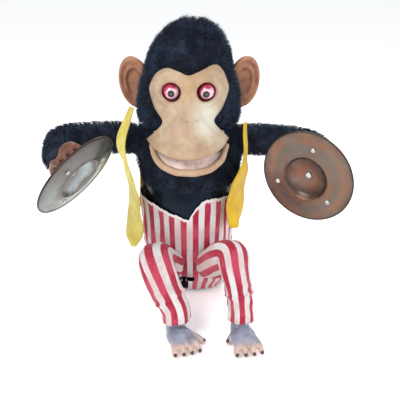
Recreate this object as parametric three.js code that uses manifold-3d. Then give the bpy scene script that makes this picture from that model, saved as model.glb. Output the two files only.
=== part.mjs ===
// A sitting clockwork chimp that claps two tin cymbals.
// Millimetres, +Z up. The chimp faces -Y, its left hand (viewer's right) is at +X, and the origin is the
// middle of the body, on the surface that the toy sits on.

import * as THREE from 'three';
import { mergeVertices } from 'three/addons/utils/BufferGeometryUtils.js';
import Module from 'manifold-3d';

const wasm = await Module();
wasm.setup();

// ---------------------------------------------------------------- driving dimensions

const GAP = 0.3;                     // between touching or fixed neighbours

// Cross-sections of the round body forms: [z, half width, depth to the front, depth to the back].
const BELLY = [
  [3, 28, 9, 27], [13, 32, 19, 32], [23, 35, 28.5, 35.5], [33, 36.4, 35.5, 37], [45, 37, 40, 38],
  [60, 37, 41.5, 38], [85, 38, 41.5, 38], [103, 39.5, 40, 37], [118, 38.5, 37, 35],
  [132.7, 35.5, 33, 32],
];
const BELLY_WALL = 1.2;
const CHEST = [
  [113, 42.8, 42.3, 40], [125, 46, 42, 41], [139, 49, 39, 39], [151, 48.5, 35, 36],
  [159, 45, 31, 33], [162.5, 40, 27, 29],
];
const CHEST_WALL = 5;
const SKULL = [
  [168, 41, 34, 35], [176, 43.5, 38, 39], [188, 44, 40, 41], [200, 42.5, 41, 42], [214, 39, 40, 41],
  [228, 34.5, 35, 36], [240, 27, 27, 28], [249, 17, 17, 18], [255, 5, 5, 5],
];
const SKULL_Y = -4;                  // middle of the head
const PLUSH_PILE = 4.2;              // backing cloth and pile over the head shell
const HEAD_SHELL_WALL = 1.8;

const BASE_THICKNESS = 2.6;
const SEAT_WALL = 2.4;               // trouser cloth with its turned seams
const SEAT_BOTTOM = 3;
const SEAT_GAP = 1.3;                // air between the belly tin and the cloth

// Clockwork: axes run along Y between two upright plates.
const PLATE_FRONT_Y = -14;
const PLATE_BACK_Y = 16;
const PLATE_THICKNESS = 1.2;
const KEY_AXIS = [0, 56];            // x, z of the winding arbor
const MODULE = 1.25;
const GREAT_TEETH = 32;
const SECOND_PINION_TEETH = 8;
const SECOND_TEETH = 28;
const CRANK_PINION_TEETH = 8;
const CRANK_TEETH = 24;
const FLY_PINION_TEETH = 8;
const MESH_SLACK = 0.25;             // added to each centre distance
const ARBOR_R = 1.5;
const CRANK_THROW = 6.5;             // from the crank's axis to its pin

// Shoulders and arms.
const SHOULDER_X = 39;
const SHOULDER_Z = 150;
const ARM_R = 14.5;
const SHOULDER_R = 13.6;             // the arm's round end, under the head
const ARM_CUT_R = 15.5;              // room that the arm's round end turns in
const BRIDGE_Z = 133;
const BRIDGE_THICKNESS = 2;
const PIN_R = 2;
const CYMBAL_R = 38;
const RIVET_CIRCLE_R = 25.6;
const ARMS = {
  left: {
    side: -1, centre: [-86, -97, 151.5], normal: [0.72, -0.43, -0.55], firstRivet: 1.47,
    path: [
      [-39, 0, 150], [-66, -3, 153], [-95, -10, 155], [-108, -26, 156], [-107, -52, 157], [-101, -80, 158],
    ],
  },
  right: {
    side: 1, centre: [93.5, -80, 143], normal: [-0.54, -0.83, -0.13], firstRivet: 0.76,
    path: [
      [39, 0, 150], [66, -3, 150], [94, -10, 150], [108, -24, 149], [107, -44, 148], [102, -62, 147],
    ],
  },
};

// Hips and legs.
const HIP_X = 20;
const HIP_Y = -26;
const LEGS = {
  left: {
    side: -1, foot: [-12, -87.5], toesTurn: 0.31, bigToe: [17, -19],
    path: [[-20, -47, 47], [-26, -55, 56], [-29, -64, 60], [-26, -73, 54], [-20, -80, 41], [-13, -86, 25]],
    radii: [13.5, 15.5, 16, 14.5, 12.8, 12.4],
  },
  right: {
    side: 1, foot: [43, -88.5], toesTurn: 0.17, bigToe: [-12.5, -11],
    path: [[20, -47, 48], [28.5, -55, 59], [36, -64, 64.5], [38, -73, 56], [41.5, -80, 40], [43, -86.5, 25]],
    radii: [13.5, 14.5, 15, 12.5, 11, 10.6],
  },
};
const ANKLE_R = 7.5;
const HIP_BAR_Z = 36;
const LEVER_AXIS = [-5.5, -26];      // x, y of the stop lever's post
const LEVER_Z = 24;                  // underside of the stop lever's ring

// Eyes and face mask.
const EYE_X = 14.2;
const EYE_Y = -41;
const EYE_Z = 203.3;
const EYE_R = 6.7;
const MASK_THICKNESS = 2;

// ---------------------------------------------------------------- materials

function finish(colour, roughness, metalness = 0) {
  return new THREE.MeshStandardMaterial({ color: colour, roughness, metalness });
}

const COLOURS = {
  plush: () => finish(0x10141f, 0.95),
  faceVinyl: () => finish(0xc9a983, 0.55),
  earVinyl: () => finish(0xa9664a, 0.5),
  handVinyl: () => finish(0x6d3a2c, 0.55),
  footVinyl: () => finish(0x8d8a95, 0.55),
  mouth: () => finish(0xd9b7ac, 0.45),
  eye: () => finish(0xe8b9bb, 0.15),
  eyeRim: () => finish(0x8e1c34, 0.4),
  belly: () => finish(0x0b0d14, 0.18, 0.3),
  vest: () => finish(0xd8b42a, 0.9),
  trousers: () => finish(0xc4475a, 0.9),
  bronze: () => finish(0x8a5c3c, 0.38, 0.9),
  tin: () => finish(0xa6a8aa, 0.35, 0.9),
  brass: () => finish(0xb5934a, 0.35, 0.9),
  spring: () => finish(0x4a5560, 0.3, 0.9),
};

// ---------------------------------------------------------------- solid helpers

// Merges a geometry's corners and turns its faces to point out.
function outward(geometry) {
  const bare = geometry.clone();
  bare.deleteAttribute('normal');
  bare.deleteAttribute('uv');
  const merged = mergeVertices(bare, 1e-4);
  const place = merged.attributes.position;
  const faces = merged.index.array;
  const corner = (i) => new THREE.Vector3().fromBufferAttribute(place, faces[i]);
  let volume = 0;
  for (let i = 0; i < faces.length; i += 3) {
    volume += corner(i).dot(corner(i + 1).cross(corner(i + 2)));
  }
  if (volume < 0) {
    faces.reverse();
  }
  merged.computeVertexNormals();
  return merged;
}

function toSolid(geometry) {
  const merged = outward(geometry);
  return new wasm.Manifold(new wasm.Mesh({
    numProp: 3,
    vertProperties: new Float32Array(merged.attributes.position.array),
    triVerts: new Uint32Array(merged.index.array),
  }));
}

function fromSolid(solid) {
  const mesh = solid.getMesh();
  const geometry = new THREE.BufferGeometry();
  geometry.setAttribute('position', new THREE.BufferAttribute(new Float32Array(mesh.vertProperties), 3));
  geometry.setIndex(new THREE.BufferAttribute(new Uint32Array(mesh.triVerts), 1));
  geometry.computeVertexNormals();
  return geometry;
}

function cut(geometry, tools) {
  return fromSolid(tools.reduce((solid, tool) => solid.subtract(toSolid(tool)), toSolid(geometry)));
}

function join(geometries) {
  const [first, ...rest] = geometries.map(toSolid);
  return fromSolid(rest.reduce((solid, other) => solid.add(other), first));
}

function keepInside(geometry, tool) {
  return fromSolid(toSolid(geometry).intersect(toSolid(tool)));
}

function boxAt(low, high) {
  const size = high.map((value, axis) => value - low[axis]);
  const geometry = new THREE.BoxGeometry(...size);
  return geometry.translate(...high.map((value, axis) => (value + low[axis]) / 2));
}

// A cylinder from one point to another.
function rod(from, to, radius, sides = 12) {
  const start = new THREE.Vector3(...from);
  const end = new THREE.Vector3(...to);
  const along = end.clone().sub(start);
  const geometry = new THREE.CylinderGeometry(radius, radius, along.length(), sides);
  const turn = new THREE.Quaternion().setFromUnitVectors(new THREE.Vector3(0, 1, 0), along.normalize());
  geometry.applyQuaternion(turn);
  const middle = start.add(end).multiplyScalar(0.5);
  return geometry.translate(middle.x, middle.y, middle.z);
}

function ball(centre, radii, columns = 10, rows = 6) {
  const geometry = new THREE.SphereGeometry(1, columns, rows);
  geometry.rotateX(Math.PI / 2);
  geometry.scale(...radii);
  return geometry.translate(...centre);
}

// A closed solid through rings that have the same number of points, with a fan over each end.
function loft(rings) {
  const count = rings[0].length;
  const points = rings.flat();
  const faces = [];
  for (let ring = 0; ring + 1 < rings.length; ring += 1) {
    for (let i = 0; i < count; i += 1) {
      const a = ring * count + i;
      const b = ring * count + ((i + 1) % count);
      faces.push(a, b, b + count, a, b + count, a + count);
    }
  }
  const middle = (ring) => ring.reduce((sum, p) => sum.add(p), new THREE.Vector3()).divideScalar(count);
  const last = (rings.length - 1) * count;
  points.push(middle(rings[0]), middle(rings[rings.length - 1]));
  for (let i = 0; i < count; i += 1) {
    const next = (i + 1) % count;
    faces.push(next, i, points.length - 2);
    faces.push(last + i, last + next, points.length - 1);
  }
  const geometry = new THREE.BufferGeometry().setFromPoints(points);
  geometry.setIndex(faces);
  geometry.computeVertexNormals();
  return geometry;
}

function ovalPoint(section, angle, offset = 0, middleY = 0) {
  const [z, width, front, back] = section;
  const depth = Math.sin(angle) < 0 ? front : back;
  return new THREE.Vector3(
    (width + offset) * Math.cos(angle), middleY + (depth + offset) * Math.sin(angle), z,
  );
}

function ovalRing(section, offset = 0, middleY = 0, sides = 20) {
  const angles = Array.from({ length: sides }, (_, i) => (2 * Math.PI * i) / sides);
  return angles.map((angle) => ovalPoint(section, angle, offset, middleY));
}

// A section between those of a profile, by height.
function sectionAt(profile, z) {
  const above = Math.max(1, profile.findIndex(([height]) => height >= z));
  const [low, high] = [profile[above - 1], profile[above]];
  const t = (z - low[0]) / (high[0] - low[0]);
  return low.map((value, i) => value + t * (high[i] - value));
}

function body(profile, offset = 0, middleY = 0, sides = 20) {
  return loft(profile.map((section) => ovalRing(section, offset, middleY, sides)));
}

// A round limb along a smooth path, flat at its start and rounded at its end.
function limb(path, radii, sides = 10, steps = 8, roundEnd = true) {
  const curve = new THREE.CatmullRomCurve3(path.map((p) => new THREE.Vector3(...p)));
  const frames = curve.computeFrenetFrames(steps);
  const ringAt = (centre, frame, radius) => Array.from({ length: sides }, (_, i) => {
    const angle = (2 * Math.PI * i) / sides;
    return centre.clone()
      .addScaledVector(frames.normals[frame], radius * Math.cos(angle))
      .addScaledVector(frames.binormals[frame], radius * Math.sin(angle));
  });
  const radiusAt = (t) => {
    const place = t * (radii.length - 1);
    const low = Math.min(Math.floor(place), radii.length - 2);
    return radii[low] + (place - low) * (radii[low + 1] - radii[low]);
  };
  const rings = [];
  for (let step = 0; step <= steps; step += 1) {
    rings.push(ringAt(curve.getPointAt(step / steps), step, radiusAt(step / steps)));
  }
  if (roundEnd) {
    const radius = radiusAt(1);
    for (const tilt of [0.7, 1.25]) {
      const reach = radius * Math.sin(tilt) * 0.8;
      const centre = curve.getPointAt(1).addScaledVector(frames.tangents[steps], reach);
      rings.push(ringAt(centre, steps, radius * Math.cos(tilt)));
    }
  }
  return loft(rings);
}

// A thin closed panel: the front surface over u and v from 0 to 1, and its back moved by a vector.
function panel(surface, columns, rows, backwards) {
  const shift = new THREE.Vector3(...backwards);
  const front = [];
  for (let row = 0; row <= rows; row += 1) {
    for (let column = 0; column <= columns; column += 1) {
      front.push(surface(column / columns, row / rows));
    }
  }
  const count = front.length;
  const points = [...front, ...front.map((p) => p.clone().add(shift))];
  const across = columns + 1;
  const faces = [];
  const quad = (a, b, c, d) => faces.push(a, b, c, a, c, d);
  for (let row = 0; row < rows; row += 1) {
    for (let column = 0; column < columns; column += 1) {
      const a = row * across + column;
      quad(a, a + 1, a + across + 1, a + across);
      quad(count + a, count + a + across, count + a + across + 1, count + a + 1);
    }
  }
  for (let column = 0; column < columns; column += 1) {
    const far = rows * across + column;
    quad(column, count + column, count + column + 1, column + 1);
    quad(far, far + 1, count + far + 1, count + far);
  }
  for (let row = 0; row < rows; row += 1) {
    const near = row * across;
    const far = near + columns;
    quad(near, near + across, count + near + across, count + near);
    quad(far, count + far, count + far + across, far + across);
  }
  const geometry = new THREE.BufferGeometry().setFromPoints(points);
  geometry.setIndex(faces);
  geometry.computeVertexNormals();
  return geometry;
}

// A closed band of cloth round the body between two surfaces over an angle and a height share.
function wrap(outer, inner, from, to, columns, rows) {
  const closed = Math.abs(to - from - 2 * Math.PI) < 1e-6;
  const ring = (surface, share) => Array.from({ length: columns + (closed ? 0 : 1) }, (_, i) => (
    surface(from + ((to - from) * i) / columns, share)));
  const shares = Array.from({ length: rows + 1 }, (_, row) => row / rows);
  const loops = [];
  const strip = [...shares.map((s) => [outer, s]), ...[...shares].reverse().map((s) => [inner, s])];
  for (const [surface, share] of strip) {
    loops.push(ring(surface, share));
  }
  const across = loops[0].length;
  const points = loops.flat();
  const faces = [];
  const total = loops.length;
  const lastColumn = closed ? across : across - 1;
  for (let loop = 0; loop < total; loop += 1) {
    const next = (loop + 1) % total;
    for (let i = 0; i < lastColumn; i += 1) {
      const j = (i + 1) % across;
      faces.push(loop * across + i, loop * across + j, next * across + j);
      faces.push(loop * across + i, next * across + j, next * across + i);
    }
  }
  if (!closed) {
    for (let row = 0; row < rows; row += 1) {
      for (const [column, flip] of [[0, false], [across - 1, true]]) {
        const a = row * across + column;
        const b = (row + 1) * across + column;
        const c = (total - 2 - row) * across + column;
        const d = (total - 1 - row) * across + column;
        const corners = flip ? [a, d, c, a, c, b] : [a, b, c, a, c, d];
        faces.push(...corners);
      }
    }
  }
  const geometry = new THREE.BufferGeometry().setFromPoints(points);
  geometry.setIndex(faces);
  geometry.computeVertexNormals();
  return geometry;
}

function turned(profile, sides = 24) {
  const outline = profile.map(([radius, height]) => new THREE.Vector2(radius, height));
  return new THREE.LatheGeometry(outline, sides).rotateX(Math.PI / 2);
}

function add(parent, name, geometry, material) {
  const mesh = new THREE.Mesh(outward(geometry), material);
  mesh.name = name;
  parent.add(mesh);
  return mesh;
}

// ---------------------------------------------------------------- body shells and base

const toy = new THREE.Group();

function legOpening(side, radius = 8.5) {
  return rod([side * (HIP_X + 1.5), -20, 48], [side * (HIP_X + 1.5), -60, 48], radius, 14);
}

function leverSlot() {
  return boxAt([-15, -60, LEVER_Z - 2.5], [4, -25, LEVER_Z + 6]);
}

function addShells() {
  const outside = body(BELLY);
  const hollow = loft(BELLY.map(([z, ...sizes], i) => (
    ovalRing([i === 0 ? 2 : z + (i === BELLY.length - 1 ? 1 : 0), ...sizes], -BELLY_WALL))));
  const wall = cut(outside, [hollow]);
  const openings = [
    legOpening(-1), legOpening(1), leverSlot(),
    rod([KEY_AXIS[0], 20, KEY_AXIS[1]], [KEY_AXIS[0], 50, KEY_AXIS[1]], 3.2),
  ];
  const half = (low, high) => boxAt([-60, low, 0], [60, high, 150]);
  add(toy, 'front_shell', keepInside(cut(wall, openings), half(-60, -GAP / 2)), COLOURS.belly());
  add(toy, 'back_shell', keepInside(cut(wall, openings), half(GAP / 2, 60)), COLOURS.belly());
  const floor = new THREE.CylinderGeometry(1, 1, BASE_THICKNESS, 28).rotateX(Math.PI / 2);
  floor.scale(27, 17.5, 1);
  floor.translate(0, 9, BASE_THICKNESS / 2);
  add(toy, 'base_plate', floor, COLOURS.tin());
}

// ---------------------------------------------------------------- clockwork

// A spur gear about the Z axis, its first tooth along +X.
function gear(teeth, width, bore, module = MODULE) {
  const pitch = (teeth * module) / 2;
  const tip = pitch + 0.75 * module;
  const root = pitch - 1.15 * module;
  const share = (2 * Math.PI) / teeth;
  const outline = [];
  for (let tooth = 0; tooth < teeth; tooth += 1) {
    const middle = tooth * share;
    for (const [radius, angle] of [[root, -0.3], [tip, -0.11], [tip, 0.11], [root, 0.3]]) {
      outline.push(new THREE.Vector2(radius, 0).rotateAround(new THREE.Vector2(), middle + angle * share));
    }
  }
  const shape = new THREE.Shape(outline);
  if (bore > 0) {
    shape.holes.push(new THREE.Path().absarc(0, 0, bore, 0, 2 * Math.PI, true));
  }
  return new THREE.ExtrudeGeometry(shape, { depth: width, bevelEnabled: false, curveSegments: 6 });
}

// Turns a piece made about Z so that it lies along +Y from a given y, and turns it by an angle on its axis.
function alongY(geometry, axis, y, spin = 0) {
  geometry.rotateZ(spin);
  geometry.rotateX(-Math.PI / 2);
  return geometry.translate(axis[0], y, axis[1]);
}

function meshAxis(from, teethA, teethB, direction) {
  const distance = ((teethA + teethB) * MODULE) / 2 + MESH_SLACK;
  return [from[0] + distance * Math.cos(direction), from[1] + distance * Math.sin(direction)];
}

// The spin that puts a tooth of the first wheel on the line of centres, and a space of the second.
function meshSpin(direction, teeth, onTooth) {
  const share = (2 * Math.PI) / teeth;
  return -direction + (onTooth ? 0 : share / 2);
}

const SECOND_DIRECTION = 0.95;
const CRANK_DIRECTION = 2.55;
const FLY_DIRECTION = 3.5;
const SECOND_AXIS = meshAxis(KEY_AXIS, GREAT_TEETH, SECOND_PINION_TEETH, SECOND_DIRECTION);
const CRANK_AXIS = meshAxis(SECOND_AXIS, SECOND_TEETH, CRANK_PINION_TEETH, CRANK_DIRECTION);
const FLY_AXIS = meshAxis(CRANK_AXIS, CRANK_TEETH, FLY_PINION_TEETH, FLY_DIRECTION);
const PILLARS = [[-25.5, 28], [25.5, 28], [-25.5, 114], [25.5, 114]];

function plateWithHoles(y) {
  const plate = boxAt([-28.5, y, 24], [28.5, y + PLATE_THICKNESS, 118]);
  const hole = (axis, radius) => rod([axis[0], y - 2, axis[1]], [axis[0], y + 4, axis[1]], radius, 10);
  const arbors = [SECOND_AXIS, CRANK_AXIS, FLY_AXIS].map((axis) => hole(axis, ARBOR_R + GAP));
  return cut(plate, [...arbors, hole(KEY_AXIS, 2.5 + GAP), ...PILLARS.map((at) => hole(at, 1.3 + GAP))]);
}

// An arbor with its wheel and pinion, as one staked piece.
function wheelOnArbor(axis, wheelTeeth, wheelY, pinionTeeth, pinionY, spins) {
  const wheel = alongY(gear(wheelTeeth, 1.6, 0), axis, wheelY, spins[0]);
  const pinion = alongY(gear(pinionTeeth, 4, 0), axis, pinionY, spins[1]);
  const [x, z] = axis;
  const arbor = rod([x, PLATE_FRONT_Y - 1, z], [x, PLATE_BACK_Y + 2.6, z], ARBOR_R, 8);
  return join([arbor, wheel, pinion]);
}

function addMotor() {
  // The four pillars are staked into the front plate, and the back plate sits on their shoulders.
  const pillars = PILLARS.flatMap(([x, z]) => [
    rod([x, PLATE_FRONT_Y - 1.5, z], [x, PLATE_BACK_Y + 3, z], 1.3, 8),
    rod([x, PLATE_FRONT_Y + 0.5, z], [x, PLATE_BACK_Y - GAP, z], 2.3, 8),
  ]);
  add(toy, 'motor_plate_front', join([plateWithHoles(PLATE_FRONT_Y), ...pillars]), COLOURS.tin());
  add(toy, 'motor_plate_back', plateWithHoles(PLATE_BACK_Y), COLOURS.tin());

  // The mainspring is a spiral ribbon round the arbor.
  const turns = 3.5;
  const coil = (share, radius) => {
    const angle = 2 * Math.PI * turns * share;
    return new THREE.Vector2(radius * Math.cos(angle), radius * Math.sin(angle));
  };
  const steps = 36;
  const inside = [];
  const outside = [];
  for (let i = 0; i <= steps; i += 1) {
    const radius = 4.2 + (12 * i) / steps;
    inside.push(coil(i / steps, radius));
    outside.push(coil(i / steps, radius + 0.6));
  }
  const ribbon = new THREE.Shape([...outside, ...inside.reverse()]);
  const spring = new THREE.ExtrudeGeometry(ribbon, { depth: 10, bevelEnabled: false, steps: 1 });
  add(toy, 'mainspring', alongY(spring, KEY_AXIS, -11), COLOURS.spring());

  // Winding key, arbor and great wheel turn together as the spring runs down.
  const greatSpin = meshSpin(SECOND_DIRECTION, GREAT_TEETH, true);
  const greatWheel = gear(GREAT_TEETH, 1.8, 2.5 + GAP);
  add(toy, 'great_wheel', alongY(greatWheel, KEY_AXIS, 2, greatSpin), COLOURS.brass());
  const [keyX, keyZ] = KEY_AXIS;
  add(toy, 'winding_arbor', rod([keyX, PLATE_FRONT_Y - 1, keyZ], [keyX, 56, keyZ], 2.5, 12), COLOURS.tin());
  const wing = new THREE.Shape();
  wing.moveTo(2, -4.5);
  wing.quadraticCurveTo(6, -3, 9, -7);
  wing.absarc(14.5, 0, 8, -2.2, 2.2, false);
  wing.quadraticCurveTo(6, 3, 2, 4.5);
  wing.closePath();
  wing.holes.push(new THREE.Path().absarc(15, 0, 3.4, 0, 2 * Math.PI, true));
  const blade = new THREE.ExtrudeGeometry(wing, { depth: 1.8, bevelEnabled: false, curveSegments: 5 });
  blade.rotateX(Math.PI / 2);
  const keyBlades = [0, Math.PI].map((turn) => (
    blade.clone().translate(0, 0.9, 0).rotateZ(turn).translate(keyX, 56, keyZ)));
  const socket = rod([keyX, 47, keyZ], [keyX, 62, keyZ], 4.4, 12);
  const bore = rod([keyX, 40, keyZ], [keyX, 56.4, keyZ], 2.5 + GAP, 12);
  add(toy, 'winding_key', cut(join([socket, ...keyBlades]), [bore]), COLOURS.tin());

  // The train: great wheel, second wheel, crank wheel, governor fly.
  const secondPinionSpin = meshSpin(SECOND_DIRECTION + Math.PI, SECOND_PINION_TEETH, false);
  const secondSpin = meshSpin(CRANK_DIRECTION, SECOND_TEETH, true);
  add(toy, 'second_wheel', wheelOnArbor(
    SECOND_AXIS, SECOND_TEETH, 8, SECOND_PINION_TEETH, 1, [secondSpin, secondPinionSpin],
  ), COLOURS.brass());
  const crankPinionSpin = meshSpin(CRANK_DIRECTION + Math.PI, CRANK_PINION_TEETH, false);
  const crankSpin = meshSpin(FLY_DIRECTION, CRANK_TEETH, true);
  const crankSpins = [crankSpin, crankPinionSpin];
  const crank = wheelOnArbor(CRANK_AXIS, CRANK_TEETH, 12.6, CRANK_PINION_TEETH, 7, crankSpins);
  const [crankX, crankZ] = CRANK_AXIS;
  const crankDisc = rod([crankX, -19.5, crankZ], [crankX, -17.5, crankZ], 9, 16);
  const crankEnd = rod([crankX, -19, crankZ], [crankX, -13, crankZ], ARBOR_R, 8);
  const pinZ = crankZ + CRANK_THROW;
  const crankPin = rod([crankX, -23, pinZ], [crankX, -18, pinZ], 1.4, 8);
  add(toy, 'crank_wheel', join([crank, crankDisc, crankEnd, crankPin]), COLOURS.brass());
  const [flyX, flyZ] = FLY_AXIS;
  const flyArbor = rod([flyX, PLATE_FRONT_Y - 1, flyZ], [flyX, PLATE_BACK_Y + 2.6, flyZ], ARBOR_R, 8);
  const flyPinion = alongY(gear(FLY_PINION_TEETH, 4, 0), FLY_AXIS, 11.6,
    meshSpin(FLY_DIRECTION + Math.PI, FLY_PINION_TEETH, false));
  const fan = boxAt([flyX - 5.5, -10, flyZ - 0.5], [flyX + 5.5, -3, flyZ + 0.5]);
  add(toy, 'governor_fly', join([flyArbor, flyPinion, fan]), COLOURS.brass());
}

// ---------------------------------------------------------------- chest, neck and hips

// The arm's round end turns in a pocket, and its sleeve swings forward through a cut at the pocket's front.
function swingRoom(side) {
  const reach = [side * (SHOULDER_X + 30), -26, SHOULDER_Z];
  return rod([side * SHOULDER_X, 0, SHOULDER_Z], reach, ARM_CUT_R - 0.3, 14);
}

function shoulderRoom(side) {
  return rod([side * SHOULDER_X, 0, BRIDGE_Z - GAP - 0.1], [side * SHOULDER_X, 0, 170], ARM_CUT_R, 20);
}

function addFrame() {
  const bar = boxAt([-42, -6, BRIDGE_Z], [42, 6, BRIDGE_Z + BRIDGE_THICKNESS]);
  const pins = [-1, 1].map((side) => (
    rod([side * SHOULDER_X, 0, BRIDGE_Z + 1], [side * SHOULDER_X, 0, 159], PIN_R, 10)));
  add(toy, 'shoulder_bridge', join([bar, ...pins]), COLOURS.tin());
  const postBottom = BRIDGE_Z + BRIDGE_THICKNESS + GAP;
  add(toy, 'neck_post', rod([0, 0, postBottom], [0, 0, 184], 6.8, 14), COLOURS.tin());
  const hipBar = boxAt([-22, HIP_Y - 1.2, HIP_BAR_Z], [22, HIP_Y + 3, HIP_BAR_Z + 2]);
  const foot = boxAt([-10, HIP_Y - 1, HIP_BAR_Z + 1], [10, PLATE_FRONT_Y - GAP, HIP_BAR_Z + 2]);
  const hipPins = [-1, 1].map((side) => (
    rod([side * HIP_X, HIP_Y, HIP_BAR_Z + 1], [side * HIP_X, HIP_Y, 58], PIN_R, 10)));
  // The stop lever hangs on a shouldered pin under the bar.
  const leverPin = [[1.5, LEVER_Z - 1, HIP_BAR_Z + 1], [3, LEVER_Z - 1.8, LEVER_Z - GAP],
    [3, LEVER_Z + 4 + GAP, HIP_BAR_Z + 1]].map(([radius, low, high]) => (
    rod([...LEVER_AXIS, low], [...LEVER_AXIS, high], radius, 10)));
  add(toy, 'hip_bracket', join([hipBar, foot, ...hipPins, ...leverPin]), COLOURS.tin());

  const low = CHEST.filter(([z]) => z > BRIDGE_Z - 5);
  const chamber = loft([
    ovalRing([BRIDGE_Z - GAP, 43.2, 34, 34]), ...low.slice(0, 2).map((s) => ovalRing(s, -CHEST_WALL)),
    ovalRing([157, 33, 22, 24]),
  ]);
  const bellyRoom = loft([
    ...BELLY.filter(([z]) => z > 90).map((s) => ovalRing(s, GAP)), ovalRing([133.2, 35.5, 33, 32], GAP),
  ]);
  const chest = cut(body(CHEST), [
    bellyRoom, chamber, shoulderRoom(-1), shoulderRoom(1), swingRoom(-1), swingRoom(1),
    rod([0, 0, 150], [0, 0, 170], 11.5, 18),
  ]);
  add(toy, 'chest_plush', chest, COLOURS.plush());
}

// ---------------------------------------------------------------- clothes

function waistHeight(angle) {
  const front = Math.max(0, -Math.sin(angle));
  const notch = Math.exp(-(((Math.cos(angle) + 0.05) / 0.24) ** 2)) * (front > 0 ? 1 : 0);
  return 99 + 4 * Math.cos(angle) - 12 * notch;
}

function addTrousers() {
  const surface = (offset) => (angle, share) => {
    const z = SEAT_BOTTOM + share * (waistHeight(angle) - SEAT_BOTTOM);
    return ovalPoint(sectionAt(BELLY, z), angle, offset);
  };
  const seat = wrap(surface(SEAT_GAP + SEAT_WALL), surface(SEAT_GAP), 0, 2 * Math.PI, 20, 10);
  add(toy, 'trouser_seat', cut(seat, [
    legOpening(-1), legOpening(1), leverSlot(),
    rod([KEY_AXIS[0], 20, KEY_AXIS[1]], [KEY_AXIS[0], 60, KEY_AXIS[1]], 3.6),
  ]), COLOURS.trousers());
}

// The vest's front panels, by height: x and y of the front edge, then x and y of the side seam.
const VEST_LEFT = [
  [64, -43, -36, -50, -31], [72, -40, -38, -54, -24], [82, -39.5, -39.5, -54, -16],
  [97, -43.5, -36.5, -52, -7], [109, -44.5, -35.5, -52, -4], [122, -47, -34.5, -53, -3],
  [136, -50.5, -31, -55, -3], [150, -54, -27, -57, -3], [162, -52, -24, -56, -3],
];
const VEST_RIGHT = [
  [80, 36, -38, 42, -31], [86, 34, -40, 46, -22], [94, 33.5, -41, 48, -14],
  [104, 34.5, -41.5, 50, -7], [118, 37, -41, 51, -3], [130, 41, -38.5, 52, -3],
  [138, 44.5, -35.5, 53, -3], [150, 48.5, -28, 54, -3],
];
const VEST_CLOTH = 1.6;
const VEST_GAP = 1.8;

function addVest() {
  const armholes = [-1, 1].map((side) => (
    ball([side * (SHOULDER_X + 14), -3, 150], [18, 30, 20], 12, 8)));
  const place = (name, piece) => add(toy, name, cut(piece, [body(CHEST, GAP), ...armholes]), COLOURS.vest());
  const front = (table, lift) => (across, share) => {
    const low = table[0][0];
    const z = low + share * (table[table.length - 1][0] - low);
    const [, frontX, frontY, sideX, sideY] = sectionAt(table, z);
    const out = Math.sign(sideX) * (4 * across * (1 - across) * 4 + lift);
    return new THREE.Vector3(
      frontX + (sideX - frontX) * across + out, frontY + (sideY - frontY) * across, z,
    );
  };
  place('vest_left', wrap(front(VEST_LEFT, VEST_CLOTH), front(VEST_LEFT, 0), 0, 1, 5, 8));
  place('vest_right', wrap(front(VEST_RIGHT, VEST_CLOTH), front(VEST_RIGHT, 0), 0, 1, 5, 8));
  const back = (lift) => (angle, share) => {
    const z = 80 + share * 77;
    const [, ...sizes] = sectionAt(CHEST, Math.min(Math.max(z, 125), 158));
    return ovalPoint([z, ...sizes], angle, VEST_GAP + lift);
  };
  place('vest_back', wrap(back(VEST_CLOTH), back(0), 0.05, Math.PI - 0.05, 10, 5));
}

// ---------------------------------------------------------------- head

// Half width of the mask's ellipse and its depth on the centre line, by height.
const MASK_WIDTH = [
  [147, 42], [162, 41], [172, 36], [183, 33], [192, 38], [203, 43.5], [220, 41], [228, 39],
];
const MASK_DEPTH = [
  [147, 61.5], [154, 62], [163, 62.5], [172, 60], [181, 57], [186, 55.5], [194, 49.8], [203, 47],
  [209, 47.6], [215, 45.4], [221, 42], [228, 38],
];

function smooth(table, z) {
  const found = table.findIndex(([height]) => height >= z);
  const index = found < 0 ? table.length - 1 : Math.max(1, found);
  const [low, high] = [table[index - 1], table[index]];
  const t = Math.min(Math.max((z - low[0]) / (high[0] - low[0]), 0), 1);
  return low[1] + t * (high[1] - low[1]);
}

function bump(x, z, spreadX, spreadZ) {
  return Math.exp(-((x / spreadX) ** 2) - ((z / spreadZ) ** 2));
}

// Depth of the face's surface in front of the head's axis.
function faceDepth(x, z) {
  const across = Math.min(Math.abs(x) / smooth(MASK_WIDTH, z), 0.95);
  const round = smooth(MASK_DEPTH, z) * Math.sqrt(1 - across ** 2);
  const sockets = 3.2 * bump(Math.abs(x) - EYE_X, z - EYE_Z, 9, 9);
  const brows = 2 * bump(Math.abs(x) - 17, z - 215.5, 9, 5);
  const nose = 2.6 * bump(x, z - 186, 6, 6) + 1.2 * bump(x, z - 195, 4, 9);
  return round - sockets + brows + nose;
}

function curveThrough(points) {
  return new THREE.CatmullRomCurve3(points.map(([x, z]) => new THREE.Vector3(x, 0, z)));
}

const MASK_TOP = curveThrough([[-30.5, 209.5], [-25.5, 216.5], [-17, 220.4], [-8, 218.2], [0, 215.6],
  [10, 218.8], [20.5, 222.6], [26.8, 218], [31, 209.5]]);
const MASK_LIP = curveThrough([[-34.5, 160.5], [-24, 155], [-12, 152.4], [0, 151.7], [12, 152.9],
  [24, 156.4], [33, 162.5]]);
const MASK_SIDE = curveThrough([
  [30.5, 209.5], [33, 203], [29.5, 191.5], [21.8, 183.3], [26, 173], [33.5, 161.5],
]);

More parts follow.
